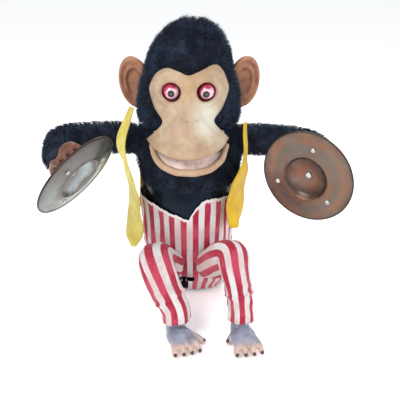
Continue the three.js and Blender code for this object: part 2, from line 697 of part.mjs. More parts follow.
function maskPoint(u, v, spread = 1) {
  const top = MASK_TOP.getPoint(u);
  const lip = MASK_LIP.getPoint(u);
  const side = MASK_SIDE.getPoint(v);
  const mix = (a, b, t) => a + (b - a) * t;
  const x = mix(top.x, lip.x, v) + (2 * u - 1) * (side.x - mix(30.5, 33.5, v));
  const z = mix(top.z, lip.z, v) + (side.z - mix(209.5, 161.5, v)) * (1 - 4 * u * (1 - u));
  return new THREE.Vector3(x * spread, 0, z);
}

function addHead() {
  const head = new THREE.Group();
  toy.add(head);
  const eyeHoles = [-1, 1].map((side) => (
    rod([side * EYE_X, -60, EYE_Z], [side * EYE_X, -20, EYE_Z], EYE_R + 1, 14)));
  const shellOffset = -PLUSH_PILE - GAP;
  const innerOffset = shellOffset - HEAD_SHELL_WALL;
  const skullSections = SKULL.filter((_, i) => i < SKULL.length - 1 && i % 2 === 0);
  const capped = (offset, lift, top) => loft([
    ovalRing([168 + lift, 34, 30, 32], offset, SKULL_Y), ...skullSections.slice(1).map((s) => (
      ovalRing(s, offset, SKULL_Y))), ovalRing([top, 5, 5, 5], 0, SKULL_Y),
  ]);
  const shellOuter = capped(shellOffset, 1.4, 250.3);
  const shellInner = capped(innerOffset, 3.4, 248.2);
  const neckHole = rod([0, 0, 160], [0, 0, 176], 9.9, 16);
  add(head, 'head_shell', cut(shellOuter, [shellInner, neckHole, ...eyeHoles]), COLOURS.tin());

  const plushInner = capped(-PLUSH_PILE, 1.1, 250.8);
  const faceRoom = panel((u, v) => {
    const at = maskPoint(u, v, 1.03);
    return new THREE.Vector3(at.x, -75, (at.z - 188) * 1.02 + 188);
  }, 12, 7, [0, 75 - 8, 0]);
  const jawRoom = boxAt([-31, -80, 150], [31, -14, 171.5]);
  const plush = cut(body(SKULL, 0, SKULL_Y), [
    plushInner, faceRoom, jawRoom, rod([0, 0, 160], [0, 0, 176], 10.6, 16),
  ]);
  add(head, 'head_plush', plush, COLOURS.plush());

  const mask = panel((u, v) => {
    const at = maskPoint(u, v);
    return new THREE.Vector3(at.x, -faceDepth(at.x, at.z), at.z);
  }, 12, 9, [0, MASK_THICKNESS, 0]);
  const lidHoles = [-1, 1].map((side) => (
    rod([side * EYE_X, -60, EYE_Z], [side * EYE_X, -20, EYE_Z], EYE_R + 1.9, 14)));
  add(head, 'face_mask', cut(mask, lidHoles), COLOURS.faceVinyl());

  for (const [word, side] of [['left', -1], ['right', 1]]) {
    const [inner, outer] = [EYE_R + 0.4, EYE_R + 1.5];
    const rim = turned([
      [inner, 0], [outer, 0], [outer, 2.6], [outer - 0.5, 3.6], [inner, 2.9], [inner, 0],
    ], 16);
    rim.rotateX(Math.PI / 2);
    rim.translate(side * EYE_X, -40.4, EYE_Z);
    add(head, `eyelid_rim_${word}`, rim, COLOURS.eyeRim());
    const ear = cut(ball([side * 48.5, -3, 203], [11.5, 4, 22], 12, 8), [
      ball([side * 50, -7.5, 203], [8, 4.5, 16], 10, 6), body(SKULL, GAP, SKULL_Y),
    ]);
    add(head, `ear_${word}`, ear, COLOURS.earVinyl());
    add(head, `jaw_pivot_${word}`, rod([side * 25.2, -33.5, 166.5], [side * 29.5, -33.5, 166.5], 1.6, 8),
      COLOURS.tin());
  }

  const sleeve = cut(rod([0, 0, 157.5], [0, 0, 198], 9.5, 16), [rod([0, 0, 150], [0, 0, 196], 7.3, 16)]);
  add(head, 'neck_sleeve', sleeve, COLOURS.tin());
  const coilPoints = [];
  const coils = 3;
  for (let i = 0; i <= coils * 8; i += 1) {
    const angle = (2 * Math.PI * i) / 8;
    const rise = (9.2 * i) / (coils * 8);
    coilPoints.push(new THREE.Vector3(5 * Math.cos(angle), 5 * Math.sin(angle), 185.3 + rise));
  }
  const wire = new THREE.Shape().absarc(0, 0, 0.6, 0, 2 * Math.PI, false);
  const spring = new THREE.ExtrudeGeometry(wire, {
    steps: coils * 8,
    extrudePath: new THREE.CatmullRomCurve3(coilPoints),
    curveSegments: 3,
    bevelEnabled: false,
  });
  add(head, 'head_spring', spring, COLOURS.spring());

  // Both eyeballs stand on one yoke, so they start forward together.
  for (const [word, side] of [['left', -1], ['right', 1]]) {
    const eyeball = ball([side * EYE_X, EYE_Y, EYE_Z], [EYE_R, EYE_R, EYE_R], 12, 8);
    add(head, `eye_${word}`, eyeball, COLOURS.eye());
  }
  const stubs = [-1, 1].map((side) => (
    rod([side * EYE_X, -27, EYE_Z], [side * EYE_X, EYE_Y + EYE_R - 0.05, EYE_Z], 2, 8)));
  const bar = rod([-EYE_X - 2, -27.5, EYE_Z], [EYE_X + 2, -27.5, EYE_Z], 1.8, 8);
  const balls = [-1, 1].map((side) => (
    ball([side * EYE_X, EYE_Y, EYE_Z], [EYE_R + GAP, EYE_R + GAP, EYE_R + GAP], 12, 8)));
  add(head, 'eye_yoke', cut(join([bar, ...stubs]), balls), COLOURS.tin());

  // The lower lip is a crescent from corner to corner, and the mouth plate fills its back.
  const lipPath = [[-31, -37, 155.5], [-25.5, -47, 147.2], [-14.5, -55.7, 141.8], [0, -59, 140.3],
    [14.5, -55.7, 141.8], [25.5, -47, 147.2], [31, -37, 155.5]];
  const lip = limb(lipPath, [2.2, 3.4, 3.9, 4, 3.9, 3.4, 2.2], 8, 14, false);
  add(head, 'jaw', lip, COLOURS.faceVinyl());
  const plate = panel((u, v) => {
    const angle = (u - 0.5) * Math.PI * 0.86;
    const reach = 1 - 0.12 * v;
    const x = 27 * Math.sin(angle) * reach;
    const y = -34.8 - 19.6 * Math.cos(angle) + 4.5 * v;
    const z = 155.5 - 12 * Math.cos(angle) * (1 - v) - 3.5 * v;
    return new THREE.Vector3(x, y, z + 1.5 * v);
  }, 12, 2, [0, 1.4, 0]);
  const lipRoom = limb(lipPath, [2.5, 3.7, 4.2, 4.3, 4.2, 3.7, 2.5], 8, 14, false);
  add(head, 'mouth_plate', cut(plate, [lipRoom]), COLOURS.mouth());
}

// ---------------------------------------------------------------- arms

const RIVET_FLANGE_Z = 2.4;            // height of the flange's face at the rivet circle

function cymbalShape() {
  const face = [[CYMBAL_R, 0], [35, 0.3], [20, 3.6], [18.6, 4.2], [15.5, 0.4], [6, -2.8], [1.6, -3]];
  const back = [[1.6, -3.9], [6.2, -3.7], [16.2, -0.4], [18.8, 3.2], [35, -0.6], [CYMBAL_R, -0.8]];
  return turned([...back, ...face, back[0]].reverse(), 20);
}

function rivetShape(shank, headR, top, bottom) {
  return turned([[0, bottom], [headR * 0.85, bottom], [headR * 0.85, bottom + 0.7], [shank, bottom + 0.7],
    [shank, top], [headR, top], [0, top + 1.1]].reverse(), 8);
}

function handShape(side) {
  const palm = ball([0, 0, -13], [11, 14, 7.5], 8, 5);
  const fingers = [-1, 0, 1, 2].map((row) => limb([
    [side * 2, 4 - 6.3 * row, -15], [side * 12, 4 - 6.8 * row, -13.5], [side * 19, 4 - 6.8 * row, -9],
  ], [3.3, 3.2, 2.7], 5, 2));
  const thumb = limb([[0, 8, -12], [-side * 9, 10, -11], [-side * 15, 8, -8.5]], [3.6, 3.4, 2.8], 5, 2);
  const wrist = ball([side * 4, 8, -17], [9, 9, 7], 8, 5);
  return join([palm, ...fingers, thumb, wrist]);
}

function addArm(word, { side, centre, normal, firstRivet, path }) {
  const arm = new THREE.Group();
  toy.add(arm);
  const boss = rod([side * SHOULDER_X, 0, 146.5], [side * SHOULDER_X, 0, 152.5], 5, 12);
  const tail = boxAt(
    [side > 0 ? 30 : -SHOULDER_X, 0, 148.5], [side > 0 ? SHOULDER_X : -30, 3, 150.5]);
  const pinHole = rod([side * SHOULDER_X, 0, 140], [side * SHOULDER_X, 0, 160], PIN_R + 0.1, 10);
  const boneAt = (radius) => limb(path, [radius, radius], 5, 7, false);
  add(arm, `arm_wire_${word}`, cut(join([boneAt(2.4), boss, tail]), [pinHole]), COLOURS.tin());

  const radii = [SHOULDER_R, ARM_R, ARM_R - 0.5, ARM_R - 0.5, ARM_R - 1, ARM_R - 2];
  const shoulder = ball(path[0], [SHOULDER_R, SHOULDER_R, SHOULDER_R], 10, 6);
  const sleeve = join([limb(path, radii, 10, 7, false), shoulder]);
  const room = [
    boneAt(2.8), rod([side * SHOULDER_X, 0, 145.8], [side * SHOULDER_X, 0, 153.2], 5.5, 12),
    rod([side * SHOULDER_X, 0, 130], [side * SHOULDER_X, 0, 159.6], PIN_R + 0.4, 10),
    boxAt([side > 0 ? 20 : -SHOULDER_X, -0.5, 148], [side > 0 ? SHOULDER_X : -20, 3.5, 151]),
  ];

  const facing = new THREE.Quaternion().setFromUnitVectors(
    new THREE.Vector3(0, 0, 1), new THREE.Vector3(...normal).normalize());
  const place = (geometry) => geometry.applyQuaternion(facing).translate(...centre);
  const dish = place(cymbalShape());
  const rimAt = (i) => {
    const angle = firstRivet + (2 * Math.PI * i) / 3;
    return [RIVET_CIRCLE_R * Math.cos(angle), RIVET_CIRCLE_R * Math.sin(angle)];
  };
  const rivetHoles = [0, 1, 2].map((i) => place(rod([...rimAt(i), -8], [...rimAt(i), 8], 1.3, 8)));
  add(arm, `cymbal_${word}`, cut(dish, rivetHoles), COLOURS.bronze());
  for (let i = 0; i < 3; i += 1) {
    const rivet = rivetShape(1, 2, RIVET_FLANGE_Z + 2 * GAP, RIVET_FLANGE_Z - 2.4);
    rivet.translate(...rimAt(i), 0);
    add(arm, `rim_rivet_${word}_${i + 1}`, place(rivet), COLOURS.tin());
  }
  add(arm, `centre_rivet_${word}`, place(rivetShape(1.2, 2.6, -3 + GAP, -12)), COLOURS.tin());
  const hand = cut(place(handShape(side)), [
    place(rod([0, 0, -20], [0, 0, 0], 2.7, 10)), boneAt(2.8),
  ]);
  const sleeveSolid = cut(sleeve, [...room, place(ball([side * 2, 2, -14], [14, 15, 10], 10, 6)),
    place(rod([0, 0, -7], [0, 0, 20], 45, 16))]);
  const sleeveRoom = limb(path, radii.map((r) => r + GAP), 10, 7, false);
  add(arm, `hand_${word}`, cut(hand, [sleeveRoom]), COLOURS.handVinyl());
  add(arm, `arm_plush_${word}`, sleeveSolid, COLOURS.plush());
}

// ---------------------------------------------------------------- legs

function footShape([x, y], turn, bigToe) {
  const pad = ball([0, -10, 6], [11.5, 17, 7.5], 10, 6);
  const heel = ball([0, 2, 8], [9, 10, 9], 8, 6);
  const ankle = rod([0, 0, 5], [0, 0, 26], ANKLE_R - 1, 12);
  const toes = [-1.5, -0.5, 0.5, 1.5].map((place) => limb([
    [place * 5, -20, 7.5], [place * 6, -27, 7], [place * 6.6, -32 + Math.abs(place), 3.8],
  ], [3.2, 3, 2.6], 5, 2));
  const thumbAt = (share, z) => [share * bigToe[0], Math.min(share * bigToe[1], -6), z];
  const thumb = limb([thumbAt(0.35, 6.5), thumbAt(0.75, 5.5), thumbAt(1, 4)], [4, 3.6, 3], 5, 2);
  const foot = join([pad, heel, ankle, ...toes, thumb]).rotateZ(turn).translate(x, y, 0);
  return keepInside(foot, boxAt([-150, -200, 0], [150, 0, 60]));
}

function addLeg(word, { side, foot, toesTurn, bigToe, path, radii }) {
  const leg = new THREE.Group();
  toy.add(leg);
  const hip = [side * HIP_X, HIP_Y];
  const wirePath = [[...hip, 48], [side * (HIP_X + 0.5), HIP_Y - 12, 48], ...path.slice(1, 5)];
  const wireAt = (radius) => limb(wirePath, [radius, radius], 5, 7, false);
  const boss = rod([...hip, 44], [...hip, 52], 4.8, 12);
  const pinHole = rod([...hip, 40], [...hip, 60], PIN_R + 0.1, 10);
  add(leg, `leg_wire_${word}`, cut(join([wireAt(2.4), boss]), [pinHole]), COLOURS.tin());
  const trouser = cut(limb(path, radii, 12, 9, false), [
    wireAt(2.8), boxAt([-80, -HIP_X - 27, 0], [80, 0, 100]),
    rod([...foot, 0], [...foot, 30], ANKLE_R, 12),
    boxAt([-80, -160, 0], [80, -60, 18.2]),
  ]);
  add(leg, `trouser_leg_${word}`, trouser, COLOURS.trousers());
  add(leg, `foot_${word}`, footShape(foot, toesTurn, bigToe), COLOURS.footVinyl());
}

// ---------------------------------------------------------------- stop lever

function addStopLever() {
  const [x, y] = LEVER_AXIS;
  const ring = rod([x, y, LEVER_Z], [x, y, LEVER_Z + 4], 4, 12);
  const arm = boxAt([x - 1.5, -43, LEVER_Z + 0.7], [x + 1.5, y - 2, LEVER_Z + 3.3]);
  const tip = boxAt([x - 4, -46, LEVER_Z + 0.2], [x + 4, -41, LEVER_Z + 4.2]);
  const hole = rod([x, y, LEVER_Z - 5], [x, y, LEVER_Z + 9], 1.6, 10);
  add(toy, 'stop_lever', cut(join([ring, arm, tip]), [hole]), COLOURS.belly());
}

addShells();
addMotor();
addFrame();
addTrousers();
addVest();
addHead();
Object.entries(ARMS).forEach(([word, arm]) => addArm(word, arm));
Object.entries(LEGS).forEach(([word, leg]) => addLeg(word, leg));
addStopLever();

export default toy;
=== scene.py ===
"""Looks of a sitting clockwork chimp that claps two tin cymbals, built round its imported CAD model."""
import math

import bpy
import numpy as np
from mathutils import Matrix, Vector


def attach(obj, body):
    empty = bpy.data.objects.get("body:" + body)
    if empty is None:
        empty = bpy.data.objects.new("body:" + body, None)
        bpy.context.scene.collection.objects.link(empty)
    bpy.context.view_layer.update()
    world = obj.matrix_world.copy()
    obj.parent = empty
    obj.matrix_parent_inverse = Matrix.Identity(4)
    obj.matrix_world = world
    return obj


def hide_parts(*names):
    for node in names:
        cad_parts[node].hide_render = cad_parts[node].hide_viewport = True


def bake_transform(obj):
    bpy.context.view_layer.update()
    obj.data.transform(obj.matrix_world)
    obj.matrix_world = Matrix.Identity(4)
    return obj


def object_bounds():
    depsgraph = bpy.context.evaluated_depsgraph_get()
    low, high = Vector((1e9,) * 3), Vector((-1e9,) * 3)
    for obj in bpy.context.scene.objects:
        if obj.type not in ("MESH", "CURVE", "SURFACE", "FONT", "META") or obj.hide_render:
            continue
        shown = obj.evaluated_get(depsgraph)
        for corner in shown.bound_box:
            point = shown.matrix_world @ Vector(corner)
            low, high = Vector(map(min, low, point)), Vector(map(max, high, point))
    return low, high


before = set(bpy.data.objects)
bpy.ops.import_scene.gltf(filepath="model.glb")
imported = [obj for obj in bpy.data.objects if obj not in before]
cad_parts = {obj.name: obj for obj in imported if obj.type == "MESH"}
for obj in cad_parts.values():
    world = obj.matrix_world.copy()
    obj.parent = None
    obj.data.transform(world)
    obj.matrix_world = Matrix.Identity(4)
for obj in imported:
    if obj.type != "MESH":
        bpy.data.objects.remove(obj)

CAD_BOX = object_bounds()
MM = 0.001                      # shapes are worked out in millimetres and made in metres

# Cross-sections of the round forms, as in the CAD: height, half width, depth in front, depth behind.
BELLY = [
    (3, 28, 9, 27), (13, 32, 19, 32), (23, 35, 28.5, 35.5), (33, 36.4, 35.5, 37), (45, 37, 40, 38),
    (60, 37, 41.5, 38), (85, 38, 41.5, 38), (103, 39.5, 40, 37), (118, 38.5, 37, 35), (132.7, 35.5, 33, 32),
]
CHEST = [
    (113, 42.8, 42.3, 40), (125, 46, 42, 41), (139, 49, 39, 39), (151, 48.5, 35, 36),
    (159, 45, 31, 33), (162.5, 40, 27, 29),
]
SKULL = [
    (168, 43, 34, 36), (176, 45.5, 38, 40), (188, 45.2, 40, 41), (200, 43, 41, 42), (214, 39, 40, 41),
    (228, 34.5, 35, 36), (240, 27, 27, 28), (249, 17, 17, 18), (255, 5, 5, 5),
]
SKULL_Y = -4
EYE = np.array([14.2, -41.0, 203.3])
EYE_R = 6.7
HIP = np.array([20.0, -26.0, 48.0])
ARM_RADII = [13.6, 14.5, 14, 14, 13.5, 12.5]
ARMS = {
    "left": dict(side=-1, centre=(-86, -97, 151.5), normal=(0.72, -0.43, -0.55), first_rivet=1.47, path=[
        (-39, 0, 150), (-66, -3, 153), (-95, -10, 155),
        (-108, -26, 156), (-107, -52, 157), (-101, -80, 158)]),
    "right": dict(side=1, centre=(93.5, -80, 143), normal=(-0.54, -0.83, -0.13), first_rivet=0.76, path=[
        (39, 0, 150), (66, -3, 150), (94, -10, 150), (108, -24, 149), (107, -44, 148), (102, -62, 147)]),
}
LEGS = {
    "left": dict(side=-1, foot=(-12, -87.5), turn=0.31, big_toe=(17, -19), path=[
        (-20, -47, 47), (-26, -55, 56), (-29, -64, 60), (-26, -73, 54), (-20, -80, 41), (-13, -86, 25)],
        radii=[12.5, 14.6, 16.2, 15.4, 13.6, 12.4, 12.3]),
    "right": dict(side=1, foot=(43, -88.5), turn=0.17, big_toe=(-12.5, -11), path=[
        (20, -47, 48), (28.5, -55, 59), (36, -64, 64.5), (38, -73, 56), (41.5, -80, 40), (43, -86.5, 25)],
        radii=[12.5, 14.2, 15.0, 13.4, 11.4, 10.6, 10.9]),
}
RIVET_CIRCLE_R = 25.6

# ---------------------------------------------------------------- camera, light and floor


def add_camera():
    """At the photographed viewing angle: 22 degrees up, 0.6 m away."""
    aim = Vector((0.0093, -0.0282, 0.1025))
    place = Vector((0, -0.584, 0.330))
    camera = bpy.data.cameras.new("camera")
    camera.lens = 61.1
    holder = bpy.data.objects.new("camera", camera)
    holder.location = place
    holder.rotation_euler = (aim - place).to_track_quat("-Z", "Y").to_euler()
    bpy.context.scene.collection.objects.link(holder)
    bpy.context.scene.camera = holder


def add_light(name, place, aim, size, power, colour=(1, 1, 1)):
    light = bpy.data.lights.new(name, "AREA")
    light.shape = "DISK"
    light.size = size
    light.energy = power
    light.color = colour
    holder = bpy.data.objects.new(name, light)
    holder.location = place
    holder.rotation_euler = (Vector(aim) - Vector(place)).to_track_quat("-Z", "Y").to_euler()
    bpy.context.scene.collection.objects.link(holder)


def add_studio():
    middle = (0, -0.03, 0.12)
    add_light("key", (-0.55, -0.75, 0.95), middle, 0.7, 9.0, (1.0, 0.98, 0.95))
    add_light("fill", (0.9, -0.5, 0.55), middle, 0.8, 4.5, (0.93, 0.96, 1.0))
    add_light("rim", (0.2, 0.9, 0.8), middle, 0.7, 5.0)
    world = bpy.data.worlds.new("studio")
    world.use_nodes = True
    sky = world.node_tree.nodes["Background"]
    sky.inputs["Color"].default_value = (0.96, 0.98, 1.0, 1)
    sky.inputs["Strength"].default_value = 0.75
    bpy.context.scene.world = world
    bpy.ops.mesh.primitive_plane_add(size=40, location=(0, 0, CAD_BOX[0][2]))
    floor = bpy.context.object
    floor.name = "floor"
    paper = plain("floor_paper", (0.95, 0.95, 0.95), 0.9)
    shine = paper.node_tree.nodes["Principled BSDF"]
    shine.inputs["Emission Color"].default_value = (1, 1, 1, 1)
    shine.inputs["Emission Strength"].default_value = 0.24
    floor.data.materials.append(paper)
    bpy.context.scene.view_settings.view_transform = "Standard"


# ---------------------------------------------------------------- materials


class Shader:
    """A material's node tree, with short ways to add its nodes. Lengths are in metres."""

    def __init__(self, name, rough, metal=0.0):
        self.material = bpy.data.materials.new(name)
        self.material.use_nodes = True
        self.tree = self.material.node_tree
        self.bsdf = self.tree.nodes["Principled BSDF"]
        self.set("Roughness", rough)
        self.set("Metallic", metal)
        self.spot = self.node("ShaderNodeTexCoord").outputs["Object"]

    def node(self, kind, **settings):
        made = self.tree.nodes.new(kind)
        for key, value in settings.items():
            setattr(made, key, value)
        return made

    def set(self, socket, value):
        self.bsdf.inputs[socket].default_value = value

    def feed(self, socket, value):
        """Puts a number, a colour or another node's output into a socket."""
        if isinstance(value, bpy.types.NodeSocket):
            self.tree.links.new(value, socket)
        elif isinstance(value, (tuple, list)) and len(value) == 3 and socket.type == "RGBA":
            socket.default_value = (*value, 1)
        else:
            socket.default_value = value

    def use(self, name, value):
        self.feed(self.bsdf.inputs[name], value)

    def noise(self, scale, detail=3.0, rough=0.55, stretch=None, spot=None):
        where = spot or self.spot
        if stretch:
            mapping = self.node("ShaderNodeMapping")
            mapping.inputs["Scale"].default_value = stretch
            self.feed(mapping.inputs["Vector"], where)
            where = mapping.outputs["Vector"]
        made = self.node("ShaderNodeTexNoise")
        self.feed(made.inputs["Vector"], where)
        made.inputs["Scale"].default_value = scale
        made.inputs["Detail"].default_value = detail
        made.inputs["Roughness"].default_value = rough
        return made.outputs["Fac"]

    def attribute(self, name):
        return self.node("ShaderNodeAttribute", attribute_name=name).outputs["Fac"]

    def maths(self, operation, a, b=0.0):
        made = self.node("ShaderNodeMath", operation=operation)
        self.feed(made.inputs[0], a)
        self.feed(made.inputs[1], b)
        return made.outputs[0]

    def fit(self, value, low, high, to_low=0.0, to_high=1.0):
        made = self.node("ShaderNodeMapRange", clamp=True, interpolation_type="SMOOTHSTEP")
        for socket, amount in zip(made.inputs[:5], (value, low, high, to_low, to_high)):
            self.feed(socket, amount)
        return made.outputs[0]

    def mix(self, share, a, b):
        made = self.node("ShaderNodeMix", data_type="RGBA")
        self.feed(made.inputs[0], share)
        self.feed(made.inputs[6], a)
        self.feed(made.inputs[7], b)
        return made.outputs[2]

    def axis(self, letter, spot=None):
        made = self.node("ShaderNodeSeparateXYZ")
        self.feed(made.inputs[0], spot or self.spot)
        return made.outputs[letter]

    def distance(self, point_mm):
        made = self.node("ShaderNodeVectorMath", operation="DISTANCE")
        self.feed(made.inputs[0], self.spot)
        made.inputs[1].default_value = [value * MM for value in point_mm]
        return made.outputs["Value"]

    def bump(self, height, depth_mm, strength=1.0):
        made = self.node("ShaderNodeBump")
        made.inputs["Strength"].default_value = strength
        made.inputs["Distance"].default_value = depth_mm * MM
        self.feed(made.inputs["Height"], height)
        self.use("Normal", made.outputs["Normal"])


def plain(name, colour, rough, metal=0.0):
    shader = Shader(name, rough, metal)
    shader.use("Base Color", colour)
    return shader.material


def plush_material():
    shader = Shader("black_plush", 0.7)
    # A mesh attribute darkens each strand from tip to root as painted shade among the pile, with a random
    # tone per strand; the bare skin gets the root's dark.
    root_shade_and_tone = shader.attribute("root_shade_and_tone")
    # Random patches are painted as a blue sheen highlight.
    tuft = shader.fit(shader.noise(75, 3), 0.42, 0.70)
    dark = shader.mix(root_shade_and_tone, (0.003, 0.004, 0.010), (0.012, 0.019, 0.038))
    shader.use("Base Color", shader.mix(shader.maths("MULTIPLY", tuft, 0.6), dark, (0.034, 0.058, 0.110)))
    shader.set("Sheen Weight", 0.16)
    shader.set("Sheen Roughness", 0.4)
    shader.set("Sheen Tint", (0.35, 0.55, 0.95, 1))
    shader.set("Specular IOR Level", 0.25)
    return shader.material


def face_material():
    """Old vinyl: beige, with stains, pores, browner patches by the brow and beside the nose, a browner upper
    lip, a painted highlight on the right cheek and painted shade in its creases, nostrils and round the eyes.
    """
    shader = Shader("face_vinyl", 0.5)
    wide = shader.fit(shader.noise(45, 4, 0.6), 0.35, 0.68)
    skin = shader.mix(wide, (0.50, 0.385, 0.265), (0.36, 0.235, 0.145))
    blotch = shader.fit(shader.noise(150, 5, 0.7), 0.54, 0.74)
    skin = shader.mix(shader.maths("MULTIPLY", blotch, 0.45), skin, (0.20, 0.12, 0.075))
    brow = shader.fit(shader.distance((0, -48, 208)), 0.024, 0.004)
    skin = shader.mix(shader.maths("MULTIPLY", brow, 0.45), skin, (0.44, 0.25, 0.12))
    nose = shader.fit(shader.distance((-8, -58, 180)), 0.020, 0.004)
    skin = shader.mix(shader.maths("MULTIPLY", nose, 0.40), skin, (0.40, 0.24, 0.15))
    # A painted highlight: a pale grey-cream patch on the right cheek.
    pale = shader.fit(shader.distance((16, -54, 184)), 0.022, 0.005)
    skin = shader.mix(shader.maths("MULTIPLY", pale, 0.75), skin, (0.62, 0.60, 0.50))
    lip = shader.fit(shader.axis("Z"), 0.162, 0.152)
    skin = shader.mix(shader.maths("MULTIPLY", lip, 0.45), skin, (0.50, 0.29, 0.17))
    # Painted shade: a mesh attribute from 0 to 1 darkens the creases, nostrils, eye surrounds and lip line
    # towards near black.
    painted_shade = shader.attribute("painted_shade")
    skin = shader.mix(painted_shade, skin, (0.075, 0.035, 0.02))
    shader.use("Base Color", skin)
    shader.set("Specular IOR Level", 0.45)
    shader.set("Subsurface Weight", 0.06)
    shader.set("Subsurface Radius", (1.0, 0.4, 0.2))
    shader.set("Subsurface Scale", 0.0015)
    shader.use("Roughness", shader.fit(shader.noise(260, 3), 0.3, 0.7, 0.40, 0.62))
    shader.bump(shader.noise(620, 4, 0.65), 0.16, 0.5)
    return shader.material


def mouth_material():
    shader = Shader("mouth_vinyl", 0.35)
    stain = shader.fit(shader.noise(170, 4, 0.7), 0.5, 0.72)
    colour = shader.mix(shader.maths("MULTIPLY", stain, 0.6), (0.80, 0.60, 0.56), (0.38, 0.20, 0.15))
    shader.use("Base Color", colour)
    shader.bump(shader.noise(500, 3), 0.12, 0.4)
    return shader.material


def vinyl_material(name, pale, deep, scale=120, rough=0.45):
    """Painted vinyl in two tones that vary at random, darkened by painted shade in its hollows and creases,
    given as a mesh attribute from 0 to 1.
    """
    shader = Shader(name, rough)
    patch = shader.fit(shader.noise(scale, 4, 0.6), 0.35, 0.7)
    colour = shader.mix(patch, pale, deep)
    # The painted shade colour: the deep tone at a third.
    dark = tuple(value * 0.3 for value in deep)
    shader.use("Base Color", shader.mix(shader.attribute("painted_shade"), colour, dark))
    shader.use("Roughness", shader.fit(shader.noise(300, 3), 0.3, 0.7, rough - 0.08, rough + 0.14))
    shader.bump(shader.noise(500, 4, 0.6), 0.2, 0.45)
    return shader.material


def foot_material():
    """Grey-blue over the instep, running to pale pink at the toes; toe is a mesh attribute."""
    shader = Shader("foot_vinyl", 0.42)
    patch = shader.fit(shader.noise(130, 4, 0.6), 0.35, 0.7)
    top = shader.mix(patch, (0.30, 0.33, 0.42), (0.19, 0.20, 0.26))
    toes = shader.mix(patch, (0.60, 0.42, 0.36), (0.42, 0.29, 0.25))
    shader.use("Base Color", shader.mix(shader.attribute("toe"), top, toes))
    shader.bump(shader.noise(500, 4, 0.6), 0.2, 0.4)
    return shader.material


def eye_material():
    """A pink-white ball, crimson over its top and outer part, with a black pupil that has a grey glint."""
    shader = Shader("eye_plastic", 0.08)
    shader.set("Coat Weight", 0.3)
    shader.set("Coat Roughness", 0.05)
    shade = shader.attribute("lid")
    vein = shader.fit(shader.noise(700, 4, 0.7), 0.4, 0.65)
    white = shader.mix(vein, (0.80, 0.55, 0.60), (0.70, 0.38, 0.45))
    red = shader.mix(vein, (0.42, 0.035, 0.09), (0.28, 0.015, 0.05))
    ball = shader.mix(shade, white, red)
    pupil = shader.attribute("pupil")
    ball = shader.mix(pupil, ball, (0.004, 0.004, 0.005))
    shader.use("Base Color", shader.mix(shader.attribute("glint"), ball, (0.10, 0.15, 0.14)))
    return shader.material


def belly_material():
    """Gloss black enamel over tin, with a blue cast, fine scratches and small chips."""
    shader = Shader("belly_paint", 0.22, 0.0)
    haze = shader.fit(shader.noise(60, 4), 0.3, 0.7)
    colour = shader.mix(haze, (0.0025, 0.0035, 0.007), (0.006, 0.009, 0.018))
    chip = shader.fit(shader.noise(420, 3, 0.7), 0.73, 0.76)
    shader.use("Base Color", shader.mix(shader.maths("MULTIPLY", chip, 0.6), colour, (0.16, 0.16, 0.17)))
    scratch = shader.noise(260, 3, 0.6, stretch=(1, 1, 9))
    shader.use("Roughness", shader.fit(scratch, 0.35, 0.7, 0.20, 0.36))
    shader.set("Specular IOR Level", 0.22)
    shader.set("Specular Tint", (0.55, 0.75, 1.0, 1))
    shader.bump(shader.noise(38, 2), 0.6, 0.35)
    return shader.material


def felt_material(name, bright, shade, spot_colour):
    shader = Shader(name, 0.95)
    fibre = shader.noise(1500, 4, 0.8)
    cloud = shader.fit(shader.noise(75, 4, 0.6), 0.3, 0.7)
    felt = shader.mix(cloud, bright, shade)
    dirt = shader.fit(shader.noise(110, 5, 0.7), 0.60, 0.75)
    felt = shader.mix(shader.maths("MULTIPLY", dirt, 0.55), felt, spot_colour)
    shader.use("Base Color", shader.mix(shader.fit(fibre, 0.3, 0.75, 0.0, 0.25), felt, shade))
    shader.set("Sheen Weight", 0.3)
    shader.set("Sheen Roughness", 0.5)
    shader.set("Specular IOR Level", 0.15)
    shader.bump(fibre, 0.35, 0.7)
    return shader.material


def stripe_material():
    """Printed cotton: stripe and along are lengths in millimetres over the cloth, held as attributes."""
    shader = Shader("striped_cotton", 0.85)
    across = shader.attribute("stripe")
    along = shader.attribute("along")
    waver = shader.maths("MULTIPLY", shader.maths("SUBTRACT", shader.noise(130, 2), 0.5), 0.5)
    phase = shader.maths("PINGPONG", shader.maths("ADD", across, waver), STRIPE / 2)
    red_share = shader.fit(phase, 2.45, 2.95)
    fade = shader.fit(shader.noise(55, 4, 0.6), 0.38, 0.66)
    red = shader.mix(fade, (0.38, 0.012, 0.040), (0.52, 0.060, 0.11))
    rub = shader.fit(shader.noise(420, 4, 0.7), 0.55, 0.8)
    red = shader.mix(shader.maths("MULTIPLY", rub, 0.5), red, (0.72, 0.25, 0.30))
    white = shader.mix(fade, (0.72, 0.68, 0.69), (0.64, 0.50, 0.48))
    colour = shader.mix(red_share, white, red)
    dirt = shader.fit(shader.noise(70, 5, 0.65), 0.55, 0.8)
    colour = shader.mix(shader.maths("MULTIPLY", dirt, 0.4), colour, (0.36, 0.19, 0.11))
    shader.use("Base Color", shader.mix(shader.attribute("edge"), colour, (0.80, 0.74, 0.72)))
    warp = shader.maths("SINE", shader.maths("MULTIPLY", across, 12.0))
    weft = shader.maths("SINE", shader.maths("MULTIPLY", along, 12.0))
    weave = shader.maths("MULTIPLY", warp, weft)
    crumple = shader.maths("MULTIPLY", shader.noise(160, 4, 0.6), 3.0)
    shader.bump(shader.maths("ADD", weave, crumple), 0.22, 0.5)
    shader.set("Sheen Weight", 0.15)
    shader.set("Specular IOR Level", 0.2)
    return shader.material


